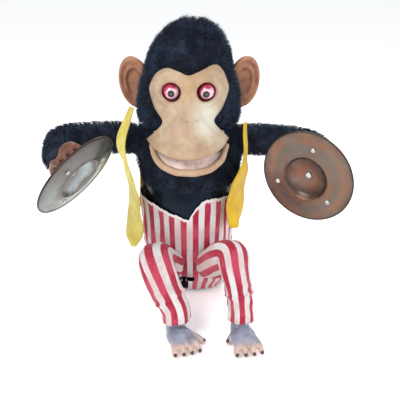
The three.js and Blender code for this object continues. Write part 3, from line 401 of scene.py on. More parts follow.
def cymbal_material(name, centre, rings, patina, patina_share):
    """Tarnished metal: rings of colour round the cymbal's axis under a cloudy patina; some rings are tarnish
    and some are painted: a reflection in the left cup and shade at the step.
    """
    shader = Shader(name, 0.32, 0.85)
    away = shader.distance(centre)
    cloud = shader.noise(34, 4, 0.6)
    ring = shader.maths("ADD", away, shader.maths("MULTIPLY", shader.maths("SUBTRACT", cloud, 0.5), 0.016))
    ramp = shader.node("ShaderNodeValToRGB")
    while len(ramp.color_ramp.elements) < len(rings):
        ramp.color_ramp.elements.new(0.5)
    for element, (place, colour) in zip(ramp.color_ramp.elements, rings):
        element.position = place
        element.color = (*colour, 1)
    shader.feed(ramp.inputs[0], shader.maths("DIVIDE", ring, 0.039))
    cover = shader.fit(shader.noise(55, 5, 0.65), 0.42, 0.68)
    colour = shader.mix(shader.maths("MULTIPLY", cover, patina_share), ramp.outputs[0], patina)
    spots = shader.fit(shader.noise(520, 4, 0.7), 0.66, 0.76)
    shader.use("Base Color", shader.mix(shader.maths("MULTIPLY", spots, 0.35), colour, (0.07, 0.045, 0.03)))
    shader.use("Roughness", shader.fit(shader.noise(90, 5, 0.65), 0.3, 0.7, 0.24, 0.46))
    shader.bump(shader.noise(300, 4, 0.6), 0.10, 0.3)
    return shader.material


def tin_material(name, colour, rough=0.32):
    shader = Shader(name, rough, 0.9)
    cloud = shader.fit(shader.noise(180, 4, 0.65), 0.35, 0.7)
    dull = tuple(value * 0.55 for value in colour)
    rust = shader.fit(shader.noise(330, 5, 0.7), 0.66, 0.76)
    shine = shader.mix(cloud, colour, dull)
    shader.use("Base Color", shader.mix(shader.maths("MULTIPLY", rust, 0.6), shine, (0.16, 0.07, 0.03)))
    shader.use("Roughness", shader.fit(shader.noise(240, 4), 0.3, 0.7, rough - 0.08, rough + 0.2))
    shader.bump(shader.noise(800, 3), 0.08, 0.3)
    return shader.material


# ---------------------------------------------------------------- mesh helpers


def softened(table, column, spread=4.0):
    """A smooth function of height through one column of a table."""
    heights = [row[0] for row in table]
    fine = np.arange(heights[0], heights[-1] + 0.25, 0.25)
    values = np.interp(fine, heights, [row[column] for row in table])
    window = np.hanning(int(spread / 0.25) * 2 + 1)
    padded = np.pad(values, len(window) // 2, mode="reflect", reflect_type="odd")
    smooth = np.convolve(padded, window / window.sum(), mode="valid")
    return lambda height: np.interp(height, fine, smooth)


class Form:
    """A round form from a table of sections: points on it by angle and height."""

    def __init__(self, table, middle_y=0.0, spread=4.0, lean=0.0):
        self.width, self.front, self.back = (softened(table, column, spread) for column in (1, 2, 3))
        self.middle_y = middle_y
        self.lean = lean

    def at(self, angle, height, offset=0.0):
        depth = np.where(np.sin(angle) < 0, self.front(height), self.back(height))
        aside = self.lean * smoothstep(212, 256, height) * (0.5 + 0.5 * np.cos(angle))
        x = aside + (self.width(height) + offset) * np.cos(angle)
        y = self.middle_y + (depth + offset) * np.sin(angle)
        return np.stack([x, y, height + 0 * angle], -1)


def grid_faces(rows, columns, round_columns=False, round_rows=False):
    faces = []
    for row in range(rows if round_rows else rows - 1):
        for column in range(columns if round_columns else columns - 1):
            next_row = (row + 1) % rows
            next_column = (column + 1) % columns
            faces.append((row * columns + column, row * columns + next_column,
                          next_row * columns + next_column, next_row * columns + column))
    return faces


def make_piece(name, points, faces, material, body, replaces=(), values=None, uv=None):
    """A smooth-shaded mesh from points in millimetres, riding on a body."""
    mesh = bpy.data.meshes.new(name)
    mesh.from_pydata((np.asarray(points, float) * MM).tolist(), [], faces)
    mesh.update()
    mesh.polygons.foreach_set("use_smooth", [True] * len(mesh.polygons))
    for key, amounts in (values or {}).items():
        layer = mesh.attributes.new(key, "FLOAT", "POINT")
        layer.data.foreach_set("value", np.asarray(amounts, np.float32).ravel())
    if uv is not None:
        layer = mesh.uv_layers.new(name="OFBake")
        corner = np.empty(len(mesh.loops), int)
        mesh.loops.foreach_get("vertex_index", corner)
        layer.data.foreach_set("uv", np.asarray(uv, float)[corner].ravel())
    piece = bpy.data.objects.new(f"{name}_look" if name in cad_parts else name, mesh)
    bpy.context.scene.collection.objects.link(piece)
    mesh.materials.append(material)
    if replaces:
        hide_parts(*replaces)
    if body:
        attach(piece, body)
    return piece


def smooth_path(points, count):
    """Evenly spaced points on a Catmull-Rom curve through the given ones."""
    points = np.asarray(points, float)
    ends = np.vstack([2 * points[0] - points[1], points, 2 * points[-1] - points[-2]])
    fine = []
    for a, b, c, d in zip(ends, ends[1:], ends[2:], ends[3:]):
        t = np.linspace(0, 1, 40, endpoint=False)[:, None]
        fine.append(0.5 * (2 * b + (c - a) * t + (2 * a - 5 * b + 4 * c - d) * t**2
                           + (3 * b - 3 * c + d - a) * t**3))
    fine = np.vstack(fine + [points[-1:]])
    length = np.concatenate([[0], np.cumsum(np.linalg.norm(np.diff(fine, axis=0), axis=1))])
    even = np.linspace(0, length[-1], count)
    return np.stack([np.interp(even, length, fine[:, k]) for k in range(3)], -1), length[-1]


def tube_frames(path, up=(0, 0, 1)):
    """Unit tangents and two unit normals along a path, turned as little as possible."""
    tangents = np.gradient(path, axis=0)
    tangents /= np.linalg.norm(tangents, axis=1)[:, None]
    normal = np.asarray(up, float) - np.dot(up, tangents[0]) * tangents[0]
    if np.linalg.norm(normal) < 0.1:
        normal = np.cross(tangents[0], (1.0, 0, 0))
    normals = []
    for tangent in tangents:
        normal = normal - np.dot(normal, tangent) * tangent
        normal /= np.linalg.norm(normal)
        normals.append(normal)
    normals = np.array(normals)
    return tangents, normals, np.cross(tangents, normals)


def tube(path, radius, sides=24, count=40, round_start=False, round_end=True):
    """Points and faces of a closed limb; radius is a function of the share along and the angle."""
    line, _ = smooth_path(path, count)
    tangents, normals, sideways = tube_frames(line)
    angles = np.linspace(0, 2 * np.pi, sides, endpoint=False)
    rings = []
    for step in range(count):
        size = radius(step / (count - 1), angles) * np.ones(sides)
        rings.append(line[step] + size[:, None] * (np.cos(angles)[:, None] * normals[step]
                                                    + np.sin(angles)[:, None] * sideways[step]))

    def dome(ring, centre, tangent):
        spread = ring - centre
        reach = np.linalg.norm(spread, axis=1).mean()
        return [centre + spread * np.cos(tilt) + tangent * reach * np.sin(tilt)
                for tilt in np.linspace(0.25, 1.5, 6)]

    if round_start:
        rings = dome(rings[0], line[0], -tangents[0])[::-1] + rings
    if round_end:
        rings = rings + dome(rings[-1], line[-1], tangents[-1])
    rows = len(rings)
    points = np.vstack(rings)
    faces = grid_faces(rows, sides, round_columns=True)
    faces.append(tuple(range(sides))[::-1])
    faces.append(tuple((rows - 1) * sides + i for i in range(sides)))
    return points, faces


def ellipsoid(centre, radii, columns=20, rows=12):
    tilt = np.linspace(-np.pi / 2, np.pi / 2, rows + 2)[1:-1]
    turn = np.linspace(0, 2 * np.pi, columns, endpoint=False)
    rings = [np.stack([np.cos(t) * np.cos(turn), np.cos(t) * np.sin(turn), np.full(columns, np.sin(t))], -1)
             for t in tilt]
    points = np.vstack(rings) * np.asarray(radii, float) + np.asarray(centre, float)
    faces = grid_faces(rows, columns, round_columns=True)
    faces.append(tuple(range(columns))[::-1])
    faces.append(tuple((rows - 1) * columns + i for i in range(columns)))
    return points, faces


def joined(parts):
    points, faces, start = [], [], 0
    for part_points, part_faces in parts:
        points.append(part_points)
        faces += [tuple(i + start for i in face) for face in part_faces]
        start += len(part_points)
    return np.vstack(points), faces


def fused(parts, voxel, smooth_steps):
    """One skin over overlapping closed parts, in millimetres, with its creases softened."""
    points, faces = joined(parts)
    mesh = bpy.data.meshes.new("fusing")
    mesh.from_pydata(points.tolist(), [], faces)
    mesh.update()
    helper = bpy.data.objects.new("fusing", mesh)
    bpy.context.scene.collection.objects.link(helper)
    remesh = helper.modifiers.new("skin", "REMESH")
    remesh.mode = "VOXEL"
    remesh.voxel_size = voxel
    soften = helper.modifiers.new("soft", "SMOOTH")
    soften.factor = 0.5
    soften.iterations = smooth_steps
    bpy.context.view_layer.update()
    shape = helper.evaluated_get(bpy.context.evaluated_depsgraph_get()).to_mesh()
    found = np.empty(len(shape.vertices) * 3)
    shape.vertices.foreach_get("co", found)
    skin_faces = [tuple(face.vertices) for face in shape.polygons]
    helper.to_mesh_clear()
    bpy.data.objects.remove(helper)
    return found.reshape(-1, 3), skin_faces


def turned_about(points, centre, normal):
    """Turns points made about +Z so that +Z points along the normal, and moves them to the centre."""
    turn = Vector((0, 0, 1)).rotation_difference(Vector(normal).normalized()).to_matrix()
    return np.asarray(points) @ np.array(turn).T + np.asarray(centre, float)


def lathe(profile, sides=96, closed=True):
    """Points and faces of a profile of (radius, height) turned about Z."""
    profile = np.asarray(profile, float)
    angles = np.linspace(0, 2 * np.pi, sides, endpoint=False)
    rings = [np.stack([r * np.cos(angles), r * np.sin(angles), np.full(sides, h)], -1) for r, h in profile]
    return np.vstack(rings), grid_faces(len(profile), sides, round_columns=True, round_rows=closed)


def rounded_profile(points):
    """A closed profile with its corners eased by two passes of corner cutting."""
    shape = np.asarray(points, float)
    for _ in range(2):
        following = np.roll(shape, -1, axis=0)
        shape = np.stack([0.8 * shape + 0.2 * following, 0.2 * shape + 0.8 * following], 1).reshape(-1, 2)
    return shape


def thick_sheet(front, thickness, rows, columns, round_columns=False):
    """A closed sheet from a grid of points: its back is moved in along the surface normals."""
    shaped = front.reshape(rows, columns, 3)
    if round_columns:
        across = np.roll(shaped, -1, 1) - np.roll(shaped, 1, 1)
    else:
        across = np.gradient(shaped, axis=1)
    normal = np.cross(across, np.gradient(shaped, axis=0))
    normal /= np.maximum(np.linalg.norm(normal, axis=-1, keepdims=True), 1e-9)
    back = shaped - normal * thickness
    edge_rows = 0.5 * (shaped + back)
    lift = thickness * 0.35
    down = shaped[0] - shaped[1]
    top = shaped[-1] - shaped[-2]
    down /= np.linalg.norm(down, axis=-1, keepdims=True)
    top /= np.linalg.norm(top, axis=-1, keepdims=True)
    loops = [*shaped, edge_rows[-1] + top * lift, *back[::-1], edge_rows[0] + down * lift]
    points = np.vstack(loops)
    total = len(loops)
    faces = grid_faces(total, columns, round_columns=round_columns, round_rows=True)
    if not round_columns:
        for column in (0, columns - 1):
            for row in range(rows - 1):
                face = (row * columns + column, (row + 1) * columns + column,
                        (total - 2 - row - 1) * columns + column, (total - 2 - row) * columns + column)
                faces.append(face if column == 0 else face[::-1])
            bottom = (column, (total - 2) * columns + column, (total - 1) * columns + column)
            upper = ((rows - 1) * columns + column, rows * columns + column, (rows + 1) * columns + column)
            faces.append(bottom if column == 0 else bottom[::-1])
            faces.append(upper if column == 0 else upper[::-1])
    return points, faces, total


# ---------------------------------------------------------------- plush


def tuft_noise(points, seed, wave):
    """A smooth pseudo-random vector field over space, which gathers the strands into tufts."""
    rng = np.random.default_rng(seed)
    field = np.zeros_like(points)
    for _ in range(5):
        direction = rng.normal(size=3)
        direction /= np.linalg.norm(direction)
        phase = rng.uniform(0, 2 * np.pi)
        field += np.sin(points @ direction * (2 * np.pi / (wave * rng.uniform(0.6, 1.5))) + phase)[:, None] \
            * rng.normal(size=3)
    return field / 3


def strands(points, faces, count, length, seed, comb, keep=None, thickness=0.22):
    """Closed tapering strands that stand on a skin. Gives points, faces, an amount per point of painted root
    shade and random tone, and bake coordinates.
    """
    rng = np.random.default_rng(seed)
    triangles = np.array([(f[0], f[i], f[i + 1]) for f in faces if len(f) < 6 for i in range(1, len(f) - 1)])
    a, b, c = (points[triangles[:, k]] for k in range(3))
    cross = np.cross(b - a, c - a)
    area = np.linalg.norm(cross, axis=1)
    normal = cross / np.maximum(area, 1e-9)[:, None]
    centre = (a + b + c) / 3
    weight = area.copy()
    if keep is not None:
        weight = weight * keep(centre, normal)
    chosen = rng.choice(len(triangles), size=count, p=weight / weight.sum())
    u, v = rng.random(count), rng.random(count)
    flip = u + v > 1
    u[flip], v[flip] = 1 - u[flip], 1 - v[flip]
    root = a[chosen] + u[:, None] * (b - a)[chosen] + v[:, None] * (c - a)[chosen]
    out = normal[chosen]
    lean = comb(root, out) + 0.55 * tuft_noise(root, seed, 9.0) + 0.30 * rng.normal(size=(count, 3))
    lean -= (lean * out).sum(1)[:, None] * out * 0.8
    aim = out + lean
    aim /= np.linalg.norm(aim, axis=1)[:, None]
    curl = aim + 0.5 * comb(root, out) + 0.12 * rng.normal(size=(count, 3))
    curl /= np.linalg.norm(curl, axis=1)[:, None]
    size = length * rng.uniform(0.7, 1.15, count)
    middle = root + (0.6 * out + 0.4 * aim) * (0.5 * size)[:, None]
    tip = middle + curl * (0.62 * size)[:, None]
    foot = root - out * 0.5
    side = np.cross(aim, rng.normal(size=(count, 3)))
    side /= np.linalg.norm(side, axis=1)[:, None]
    other = np.cross(aim, side)
    ring = [math.cos(k * 2 * math.pi / 3) * side + math.sin(k * 2 * math.pi / 3) * other for k in range(3)]
    layers = [foot + r * thickness for r in ring] + [middle + r * thickness * 0.85 for r in ring] + [tip]
    made = np.stack(layers, 1).reshape(-1, 3)
    shape = [(0, 1, 4, 3), (1, 2, 5, 4), (2, 0, 3, 5), (3, 4, 6), (4, 5, 6), (5, 3, 6), (2, 1, 0)]
    strand_faces = [tuple(i + 7 * k for i in face) for k in range(count) for face in shape]
    # A random tone per strand, darkened from tip to root as painted shade among the pile.
    shade = rng.random(count) ** 1.5
    root_shades_and_tones = np.repeat(shade, 7) * np.tile([0.1, 0.1, 0.1, 0.55, 0.55, 0.55, 1.0], count)
    cells = math.ceil(math.sqrt(count))
    cell = np.stack([np.arange(count) % cells, np.arange(count) // cells], -1) / cells
    corners = np.array([(0.1, 0.1), (0.5, 0.1), (0.9, 0.1), (0.1, 0.5), (0.5, 0.5), (0.9, 0.5), (0.5, 0.9)])
    uv = (cell[:, None, :] + corners[None] / cells).reshape(-1, 2)
    return made, strand_faces, root_shades_and_tones, uv


def plush_piece(name, skin, count, length, seed, comb, body, replaces, keep=None):
    """A plush skin and, as its own piece, the pile that stands on it."""
    points, faces = skin
    cloth = make_piece(name, points, faces, MATERIALS["plush"], body, replaces,
                       values={"root_shade_and_tone": np.full(len(points), 0.12)})
    made, strand_faces, root_shades_and_tones, uv = strands(points, faces, count, length, seed, comb, keep)
    pile = make_piece(f"{name}_pile", made, strand_faces, MATERIALS["plush"], None,
                      values={"root_shade_and_tone": root_shades_and_tones}, uv=uv)
    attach(pile, body)
    return cloth, pile


def form_skin(form, low, high, offset, rows=70, columns=120):
    """The whole skin of a round form between two heights, closed at both ends."""
    heights = np.linspace(low, high, rows)
    angles = np.linspace(0, 2 * np.pi, columns, endpoint=False)
    points = np.vstack([form.at(angles, height, offset) for height in heights])
    faces = grid_faces(rows, columns, round_columns=True)
    faces.append(tuple(range(columns))[::-1])
    faces.append(tuple((rows - 1) * columns + i for i in range(columns)))
    return points, faces


def facing_out(points, faces):
    """Turns a closed skin's faces so that they point out."""
    points = np.asarray(points, float)
    fans = np.array([(f[0], f[i], f[i + 1]) for f in faces for i in range(1, len(f) - 1)])
    a, b, c = (points[fans[:, k]] for k in range(3))
    if (a * np.cross(b, c)).sum() < 0:
        return [tuple(face[::-1]) for face in faces]
    return faces


def carve(piece, tools):
    """Cuts closed tools out of a piece and keeps the result as its mesh."""
    helpers = []
    for points, faces in tools:
        mesh = bpy.data.meshes.new("tool")
        mesh.from_pydata((np.asarray(points) * MM).tolist(), [], facing_out(points, faces))
        helper = bpy.data.objects.new("tool", mesh)
        bpy.context.scene.collection.objects.link(helper)
        cutter = piece.modifiers.new("cut", "BOOLEAN")
        cutter.solver = "EXACT"
        cutter.object = helper
        helpers.append(helper)
    bpy.context.view_layer.update()
    graph = bpy.context.evaluated_depsgraph_get()
    shaped = bpy.data.meshes.new_from_object(
        piece.evaluated_get(graph), preserve_all_data_layers=True, depsgraph=graph)
    piece.modifiers.clear()
    piece.data = shaped
    for helper in helpers:
        bpy.data.objects.remove(helper)


def box_tool(low, high):
    corners = [(x, y, z) for z in (low[2], high[2]) for y in (low[1], high[1]) for x in (low[0], high[0])]
    faces = [(0, 2, 3, 1), (4, 5, 7, 6), (0, 1, 5, 4), (2, 6, 7, 3), (0, 4, 6, 2), (1, 3, 7, 5)]
    return np.array(corners, float), faces


def rod_tool(start, end, radius, sides=48):
    return tube([start, np.add(start, end) / 2, end], lambda t, a: radius, sides, 3, False, False)


def prism_tool(outline, near_y, far_y):
    """A straight prism along Y from an outline of (x, z) points."""
    count = len(outline)
    points = [(x, near_y, z) for x, z in outline] + [(x, far_y, z) for x, z in outline]
    faces = [tuple(range(count)), tuple(range(2 * count - 1, count - 1, -1))]
    faces += [(i, (i + 1) % count, count + (i + 1) % count, count + i) for i in range(count)]
    return np.array(points, float), faces


def bump(x, z, spread_x, spread_z):
    return np.exp(-(x / spread_x)**2 - (z / spread_z)**2)


def mix(a, b, share):
    return a + (b - a) * share


def smoothstep(low, high, value):
    share = np.clip((value - low) / (high - low), 0, 1)
    return share * share * (3 - 2 * share)


# ---------------------------------------------------------------- face

MASK_WIDTH = [(147, 42), (162, 41), (172, 36), (183, 33), (192, 38), (203, 43.5), (220, 41), (228, 39)]
MASK_DEPTH = [
    (147, 61.5), (154, 62), (163, 62.5), (172, 60), (181, 57), (186, 55.5), (194, 49.8), (203, 47),
    (209, 47.6), (215, 45.4), (221, 42), (228, 38),
]
MASK_TOP = [
    (-29.2, 209.5), (-24.8, 216.5), (-17, 220.4), (-8, 218.2), (0, 215.6), (10, 218.8), (20.5, 222.6),
    (26.5, 218), (30.2, 209.5),
]
MASK_LIP = [(-34.5, 160.5), (-24, 155), (-12, 152.4), (0, 151.7), (12, 152.9), (24, 156.4), (32, 162.5)]
MASK_SIDE = [(30.5, 209.5), (32, 202), (27.5, 189), (20.3, 179.5), (25.5, 170.5), (33.5, 161.5)]


def plane_curve(points):
    """A smooth curve through (x, z) points: the share along it gives a point."""
    line, _ = smooth_path([(x, 0, z) for x, z in points], 240)
    steps = np.linspace(0, 1, len(line))
    return lambda share: (np.interp(share, steps, line[:, 0]), np.interp(share, steps, line[:, 2]))


mask_top = plane_curve(MASK_TOP)
mask_lip = plane_curve(MASK_LIP)
mask_side = plane_curve(MASK_SIDE)
mask_width = softened([(z, w) for z, w in MASK_WIDTH], 1)
mask_depth = softened([(z, d) for z, d in MASK_DEPTH], 1, 3.0)


def mask_point(u, v):
    """A point (x, z) of the face's outline shape, from its top (v = 0) to its upper lip (v = 1)."""
    top_x, top_z = mask_top(u)
    lip_x, lip_z = mask_lip(u)
    side_x, side_z = mask_side(v)
    x = mix(top_x, lip_x, v) + (2 * u - 1) * (side_x - mix(30.5, 33.5, v))
    z = mix(top_z, lip_z, v) + (side_z - mix(209.5, 161.5, v)) * (1 - 4 * u * (1 - u))
    return x, z


def face_depth(x, z):
    """The modelled face's distance in front of the head's middle."""
    across = np.minimum(np.abs(x) / mask_width(z), 0.95)
    depth = mask_depth(z) * np.sqrt(1 - across**2)
    depth -= 3.2 * bump(np.abs(x) - EYE[0], z - EYE[2], 9, 9)
    depth += 2 * bump(np.abs(x) - 17, z - 215.5, 9, 5)
    depth += 2.6 * bump(x, z - 186, 6, 6) + 1.2 * bump(x, z - 195, 4, 9)
    return depth


def face_detail(x, z, v):
    """Finer modelling: how far out it stands, and how much painted shade it gets in its creases, nostrils,
    round the eyes and along the lip (0 to 1).
    """
    ax = np.abs(x)
    nose_x = np.abs(x - 2.0)
    from_eye = np.hypot(ax - EYE[0], z - EYE[2])
    out = 0.9 * np.exp(-((from_eye - 10.4) / 1.4)**2)
    out -= 0.5 * np.exp(-((from_eye - 13.0) / 1.3)**2) * smoothstep(2, 14, ax)
    out += 1.0 * bump(nose_x - 5.4, z - 185, 2.4, 3.0)
    nostril = bump(nose_x - 3.7, z - 182.6, 1.1, 1.2)
    out -= 1.8 * nostril
    fold_x = 8.5 + 11 * smoothstep(188, 169, z)
    fold = np.exp(-((ax - fold_x) / 2.0)**2) * smoothstep(163, 173, z) * smoothstep(192, 185, z)
    out -= 0.7 * fold
    ripple = np.sin(x * 1.5 + 0.6 * np.sin(z * 0.5)) * bump(x - 2, z - 175, 7.0, 5.0)
    out += 0.30 * ripple
    out -= 0.5 * bump(x - 2, z - 179.5, 1.2, 3.2)
    frown = np.exp(-((ax - 4.4) / 1.2)**2) * bump(0 * z, z - 208, 1, 4)
    out -= 0.35 * frown
    lip = smoothstep(0.93, 0.985, v)
    out += 1.1 * np.exp(-((v - 0.955) / 0.028)**2)
    # dark is painted shade: in the nostrils, folds, wrinkles and frown, in a ring round each eye and along
    # the lip's edge.
    dark = nostril + 0.14 * fold + 0.16 * np.clip(-ripple, 0, 1) + 0.10 * frown
    dark += 0.18 * np.exp(-((from_eye - 8.4) / 1.3)**2) + 0.35 * smoothstep(0.98, 1.0, v)
    dark += 0.12 * bump(x - 2, z - 179.5, 1.6, 3.4)
    return out - 1.5 * lip * smoothstep(0.97, 1.0, v), np.clip(dark, 0, 1)


def add_face():
    rows, columns = 150, 150
    u, v = np.meshgrid(np.linspace(0, 1, columns), np.linspace(0, 1, rows))
    x, z = mask_point(u, v)
    detail, dark = face_detail(x, z, v)
    turn_in = smoothstep(0.06, 0.0, np.minimum(np.minimum(u, 1 - u), v))
    y = -(face_depth(x, z) + detail - 1.6 * turn_in)
    front = np.stack([x, y, z], -1).reshape(-1, 3)
    points, faces, loops = thick_sheet(front, 1.8, rows, columns)
    lay = np.concatenate([np.arange(rows), [rows - 1], np.arange(rows)[::-1], [0]])
    # The painted shade of the front is laid on both faces of the sheet.
    painted_shade = dark.reshape(rows, columns)[lay]
    mask = make_piece("face_mask", points, facing_out(points, faces), MATERIALS["face"], "head",
                      ("face_mask",), values={"painted_shade": painted_shade})
    carve(mask, [rod_tool((side * EYE[0], -60, EYE[2]), (side * EYE[0], -20, EYE[2]),
                         EYE_R + 1.2) for side in (-1, 1)])
    smooth_shade(mask)


def smooth_shade(piece):
    piece.data.polygons.foreach_set("use_smooth", [True] * len(piece.data.polygons))
    piece.data.update()


def add_eyes():
    """Round eyeballs with a painted pupil, and the turned rims that they look through."""
    for word, side in (("left", -1), ("right", 1)):
        centre = EYE * (side, 1, 1)
        points, faces = ellipsoid((0, 0, 0), (1, 1, 1), 128, 63)
        gaze = np.array([-0.02, -1.0, -0.20 - 0.05 * side])
        gaze /= np.linalg.norm(gaze)
        angle = np.degrees(np.arccos(np.clip(points @ gaze, -1, 1)))
        lean = points @ np.array([-0.72, -0.1, 0.72])
        lid = smoothstep(32, 50, angle) * smoothstep(-0.35, 0.25, lean)
        lid = np.maximum(lid, 0.9 * smoothstep(60, 74, angle))
        spark = gaze + (0.03, 0, 0.05)
        spark /= np.linalg.norm(spark)
        from_spark = np.degrees(np.arccos(np.clip(points @ spark, -1, 1)))
        values = {
            "pupil": smoothstep(27, 24.5, angle), "lid": lid, "glint": 0.8 * smoothstep(7, 4, from_spark),
        }
        make_piece(f"eye_{word}", points * EYE_R + centre, faces, MATERIALS["eye"], "eyes",
                   (f"eye_{word}",), values=values)
        profile = [(7.1, -0.3), (8.0, -0.3), (8.1, 1.2), (7.95, 2.6), (7.6, 3.2), (7.2, 2.7), (7.05, 1.2)]
        ring, ring_faces = lathe(rounded_profile(profile), 96)
        ring = turned_about(ring, (side * EYE[0], -40.4, EYE[2]), (0, -1, 0))
        make_piece(f"eyelid_rim_{word}", ring, facing_out(ring, ring_faces), MATERIALS["eyelid"], "head",
                   (f"eyelid_rim_{word}",))


JAW_PATH = [
    (-31.5, -37, 155.5), (-26.5, -47, 146), (-15, -55.5, 140.2), (0, -58.8, 138.9), (15, -55.5, 140.2),
    (26.5, -47, 146), (31.5, -37, 155.5),
]
JAW_RADII = [2.2, 2.8, 3.0, 3.0, 3.0, 2.8, 2.2]


def add_jaw():
    shares = np.linspace(0, 1, 7)

    def lip_radius(share, angles):
        return np.interp(share, shares, JAW_RADII) * (1 + 0.05 * np.sin(share * 40 + 2 * np.cos(angles)))

    points, faces = tube(JAW_PATH, lip_radius, 32, 90, round_start=True)
    # Painted shade in thin creases across the lower lip.
    crease_shade = smoothstep(0.4, 1.0, np.abs(np.sin(points[:, 0] * 0.9 + points[:, 2] * 0.7))**8) * 0.2
    make_piece("lower_lip", points, facing_out(points, faces), MATERIALS["face"], "lower_jaw",
               ("jaw",), values={"painted_shade": crease_shade})
    rows, columns = 30, 90
    u, v = np.meshgrid(np.linspace(0, 1, columns), np.linspace(0, 1, rows))
    turn = (u - 0.5) * math.pi * 0.86
    sag = 1.5 * np.sin(math.pi * v)
    x = 27 * np.sin(turn) * (1 - 0.12 * v)
    y = -35 - 21.4 * np.cos(turn) + 4.5 * v + sag
    z = 155 - 14.6 * np.cos(turn) * (1 - v) - 2 * v
    dent = 0.5 * np.sin(turn * 9 + 2 * v) * np.cos(turn)
    front = np.stack([x, y + dent, z], -1).reshape(-1, 3)
    points, faces, loops = thick_sheet(front, 1.3, rows, columns)
    make_piece("mouth_plate", points, facing_out(points, faces), MATERIALS["mouth"], "lower_jaw",
               ("mouth_plate",))


def add_ears():
    """Cupped ears with a rolled rim, an inner fold and a cupped middle, with painted shade in the middle and
    round its edge.
    """
    rings, sides = 26, 96
    share = np.linspace(0, 1, rings)[:, None]
    turn = np.linspace(0, 2 * math.pi, sides, endpoint=False)[None, :]
    outline = 1 + 0.05 * np.cos(2 * turn - 0.8) - 0.06 * np.sin(turn) * (np.sin(turn) < 0)
    front = 1.7 * np.exp(-((share - 0.88) / 0.09)**2) - 3.0 * smoothstep(0.74, 0.35, share)
    fold = 1.3 * np.exp(-((share - 0.55) / 0.08)**2) * smoothstep(-0.7, 0.3, np.sin(turn + 0.4))
    front = front + fold - 2.2 * smoothstep(0.93, 1.0, share)
    back = 2.6 * np.sqrt(np.clip(1 - share**2, 0, 1)) + 0 * turn
    # Painted shade: darker towards the ear's cupped middle and in a ring at the cup's edge; the back gets a
    # little.
    dark = smoothstep(0.72, 0.4, share) * 0.22 + 0.25 * np.exp(-((share - 0.70) / 0.06)**2) + 0 * turn
    for word, side, middle in (("left", -1, 46.5), ("right", 1, 47.5)):
        x = side * (middle + 13.2 * outline * share * np.cos(turn) + 1.5 * share * np.sin(turn))
        z = 203 + 22.5 * outline * share * np.sin(turn)
        bend = 0.0022 * (side * x - middle)**2
        tops = np.stack([x, -4.6 - front - bend * 2, z], -1)
        backs = np.stack([x, -3.6 + back - bend * 2, z], -1)
        points = np.vstack([*tops, *backs[::-1][1:]])
        rows = len(points) // sides
        faces = grid_faces(rows, sides, round_columns=True)
        painted_shade = np.concatenate([dark.ravel(), np.full((rings - 1) * sides, 0.1)])
        make_piece(f"ear_{word}", points, facing_out(points, faces), MATERIALS["ear"], "head",
                   (f"ear_{word}",), values={"painted_shade": painted_shade})


def inside_outline(x, z, outline):
    """True where (x, z) lies inside a closed outline."""
    outline = np.asarray(outline)
    following = np.roll(outline, -1, axis=0)
    inside = np.zeros(len(x), bool)
    for (xa, za), (xb, zb) in zip(outline, following):
        if za == zb:
            continue
        crossing = (za > z) != (zb > z)
        inside ^= crossing & (x < (xb - xa) * (z - za) / (zb - za) + xa)
    return inside


def mask_outline(spread, count=40):
    """The face's outline, spread about its middle."""
    u = np.linspace(0, 1, count)
    edges = [mask_point(u, 0 * u), mask_point(0 * u + 1, u), mask_point(u[::-1], 0 * u + 1),
             mask_point(0 * u, u[::-1])]
    outline = np.vstack([np.stack(edge, -1)[:-1] for edge in edges])
    return (outline - (0, 188)) * spread + (0, 188)


def add_head_plush():
    skull = Form(SKULL, SKULL_Y, lean=6.5)
    skin = form_skin(skull, 168, 254.2, -2.4, 90, 150)
    inner = form_skin(Form(SKULL, SKULL_Y), 169.2, 248.5, -4.25, 40, 80)
    outline = mask_outline(1.03)

    def keep(centre, normal):
        x, y, z = centre.T
        face = inside_outline(x, z, mask_outline(0.965)) & (y < -8)
        mouth = (np.abs(x) < 30) & (y < -16) & (z < 171)
        throat = (normal[:, 2] < -0.8) & (np.hypot(x, y) < 14)
        return np.where(face | mouth | throat, 0.0, 1.0)

    def comb(root, normal):
        x, y, z = root.T
        crown = smoothstep(232, 250, z)[:, None]
        down = np.stack([0.012 * x, 0.35 + 0 * x, -0.5 + 0 * x], -1)
        up = np.stack([0.5 + 0 * x, -0.15 + 0 * x, 0.6 + 0 * x], -1)
        lean = mix(down, up, crown)
        return 0.9 * (lean - (lean * normal).sum(1)[:, None] * normal)

    points, faces = skin
    faces = facing_out(points, faces)
    cloth, pile = plush_piece("head_plush", (points, faces), HEAD_STRANDS, 4.2, 11, comb, "head",
                              ("head_plush",), keep)
    carve(cloth, [inner, prism_tool(outline, -90, -8), box_tool((-31, -90, 150), (31, -14, 171.5)),
                  rod_tool((0, 0, 150), (0, 0, 176), 10.6)])
    smooth_shade(cloth)
    add_top_tuft(skull)


def add_top_tuft(skull):
    """A standing tuft of longer pile on the crown."""
    skin = form_skin(skull, 240, 254.2, -3.2, 16, 60)
    points, faces = skin
    faces = facing_out(points, faces)

    def keep(centre, normal):
        return np.where(centre[:, 2] > 243, 1.0, 0.05)

    def comb(root, normal):
        lean = np.stack([0.75 + 0 * root[:, 0], -0.1 + 0 * root[:, 0], 0.25 + 0 * root[:, 0]], -1)
        return lean - (lean * normal).sum(1)[:, None] * normal

    made, faces, root_shades_and_tones, uv = strands(points, faces, 900, 6.0, 23, comb, keep)
    tuft = make_piece("crown_tuft", made, faces, MATERIALS["plush"], None,
                      values={"root_shade_and_tone": root_shades_and_tones}, uv=uv)
    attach(tuft, "head")


# ---------------------------------------------------------------- chest and belly

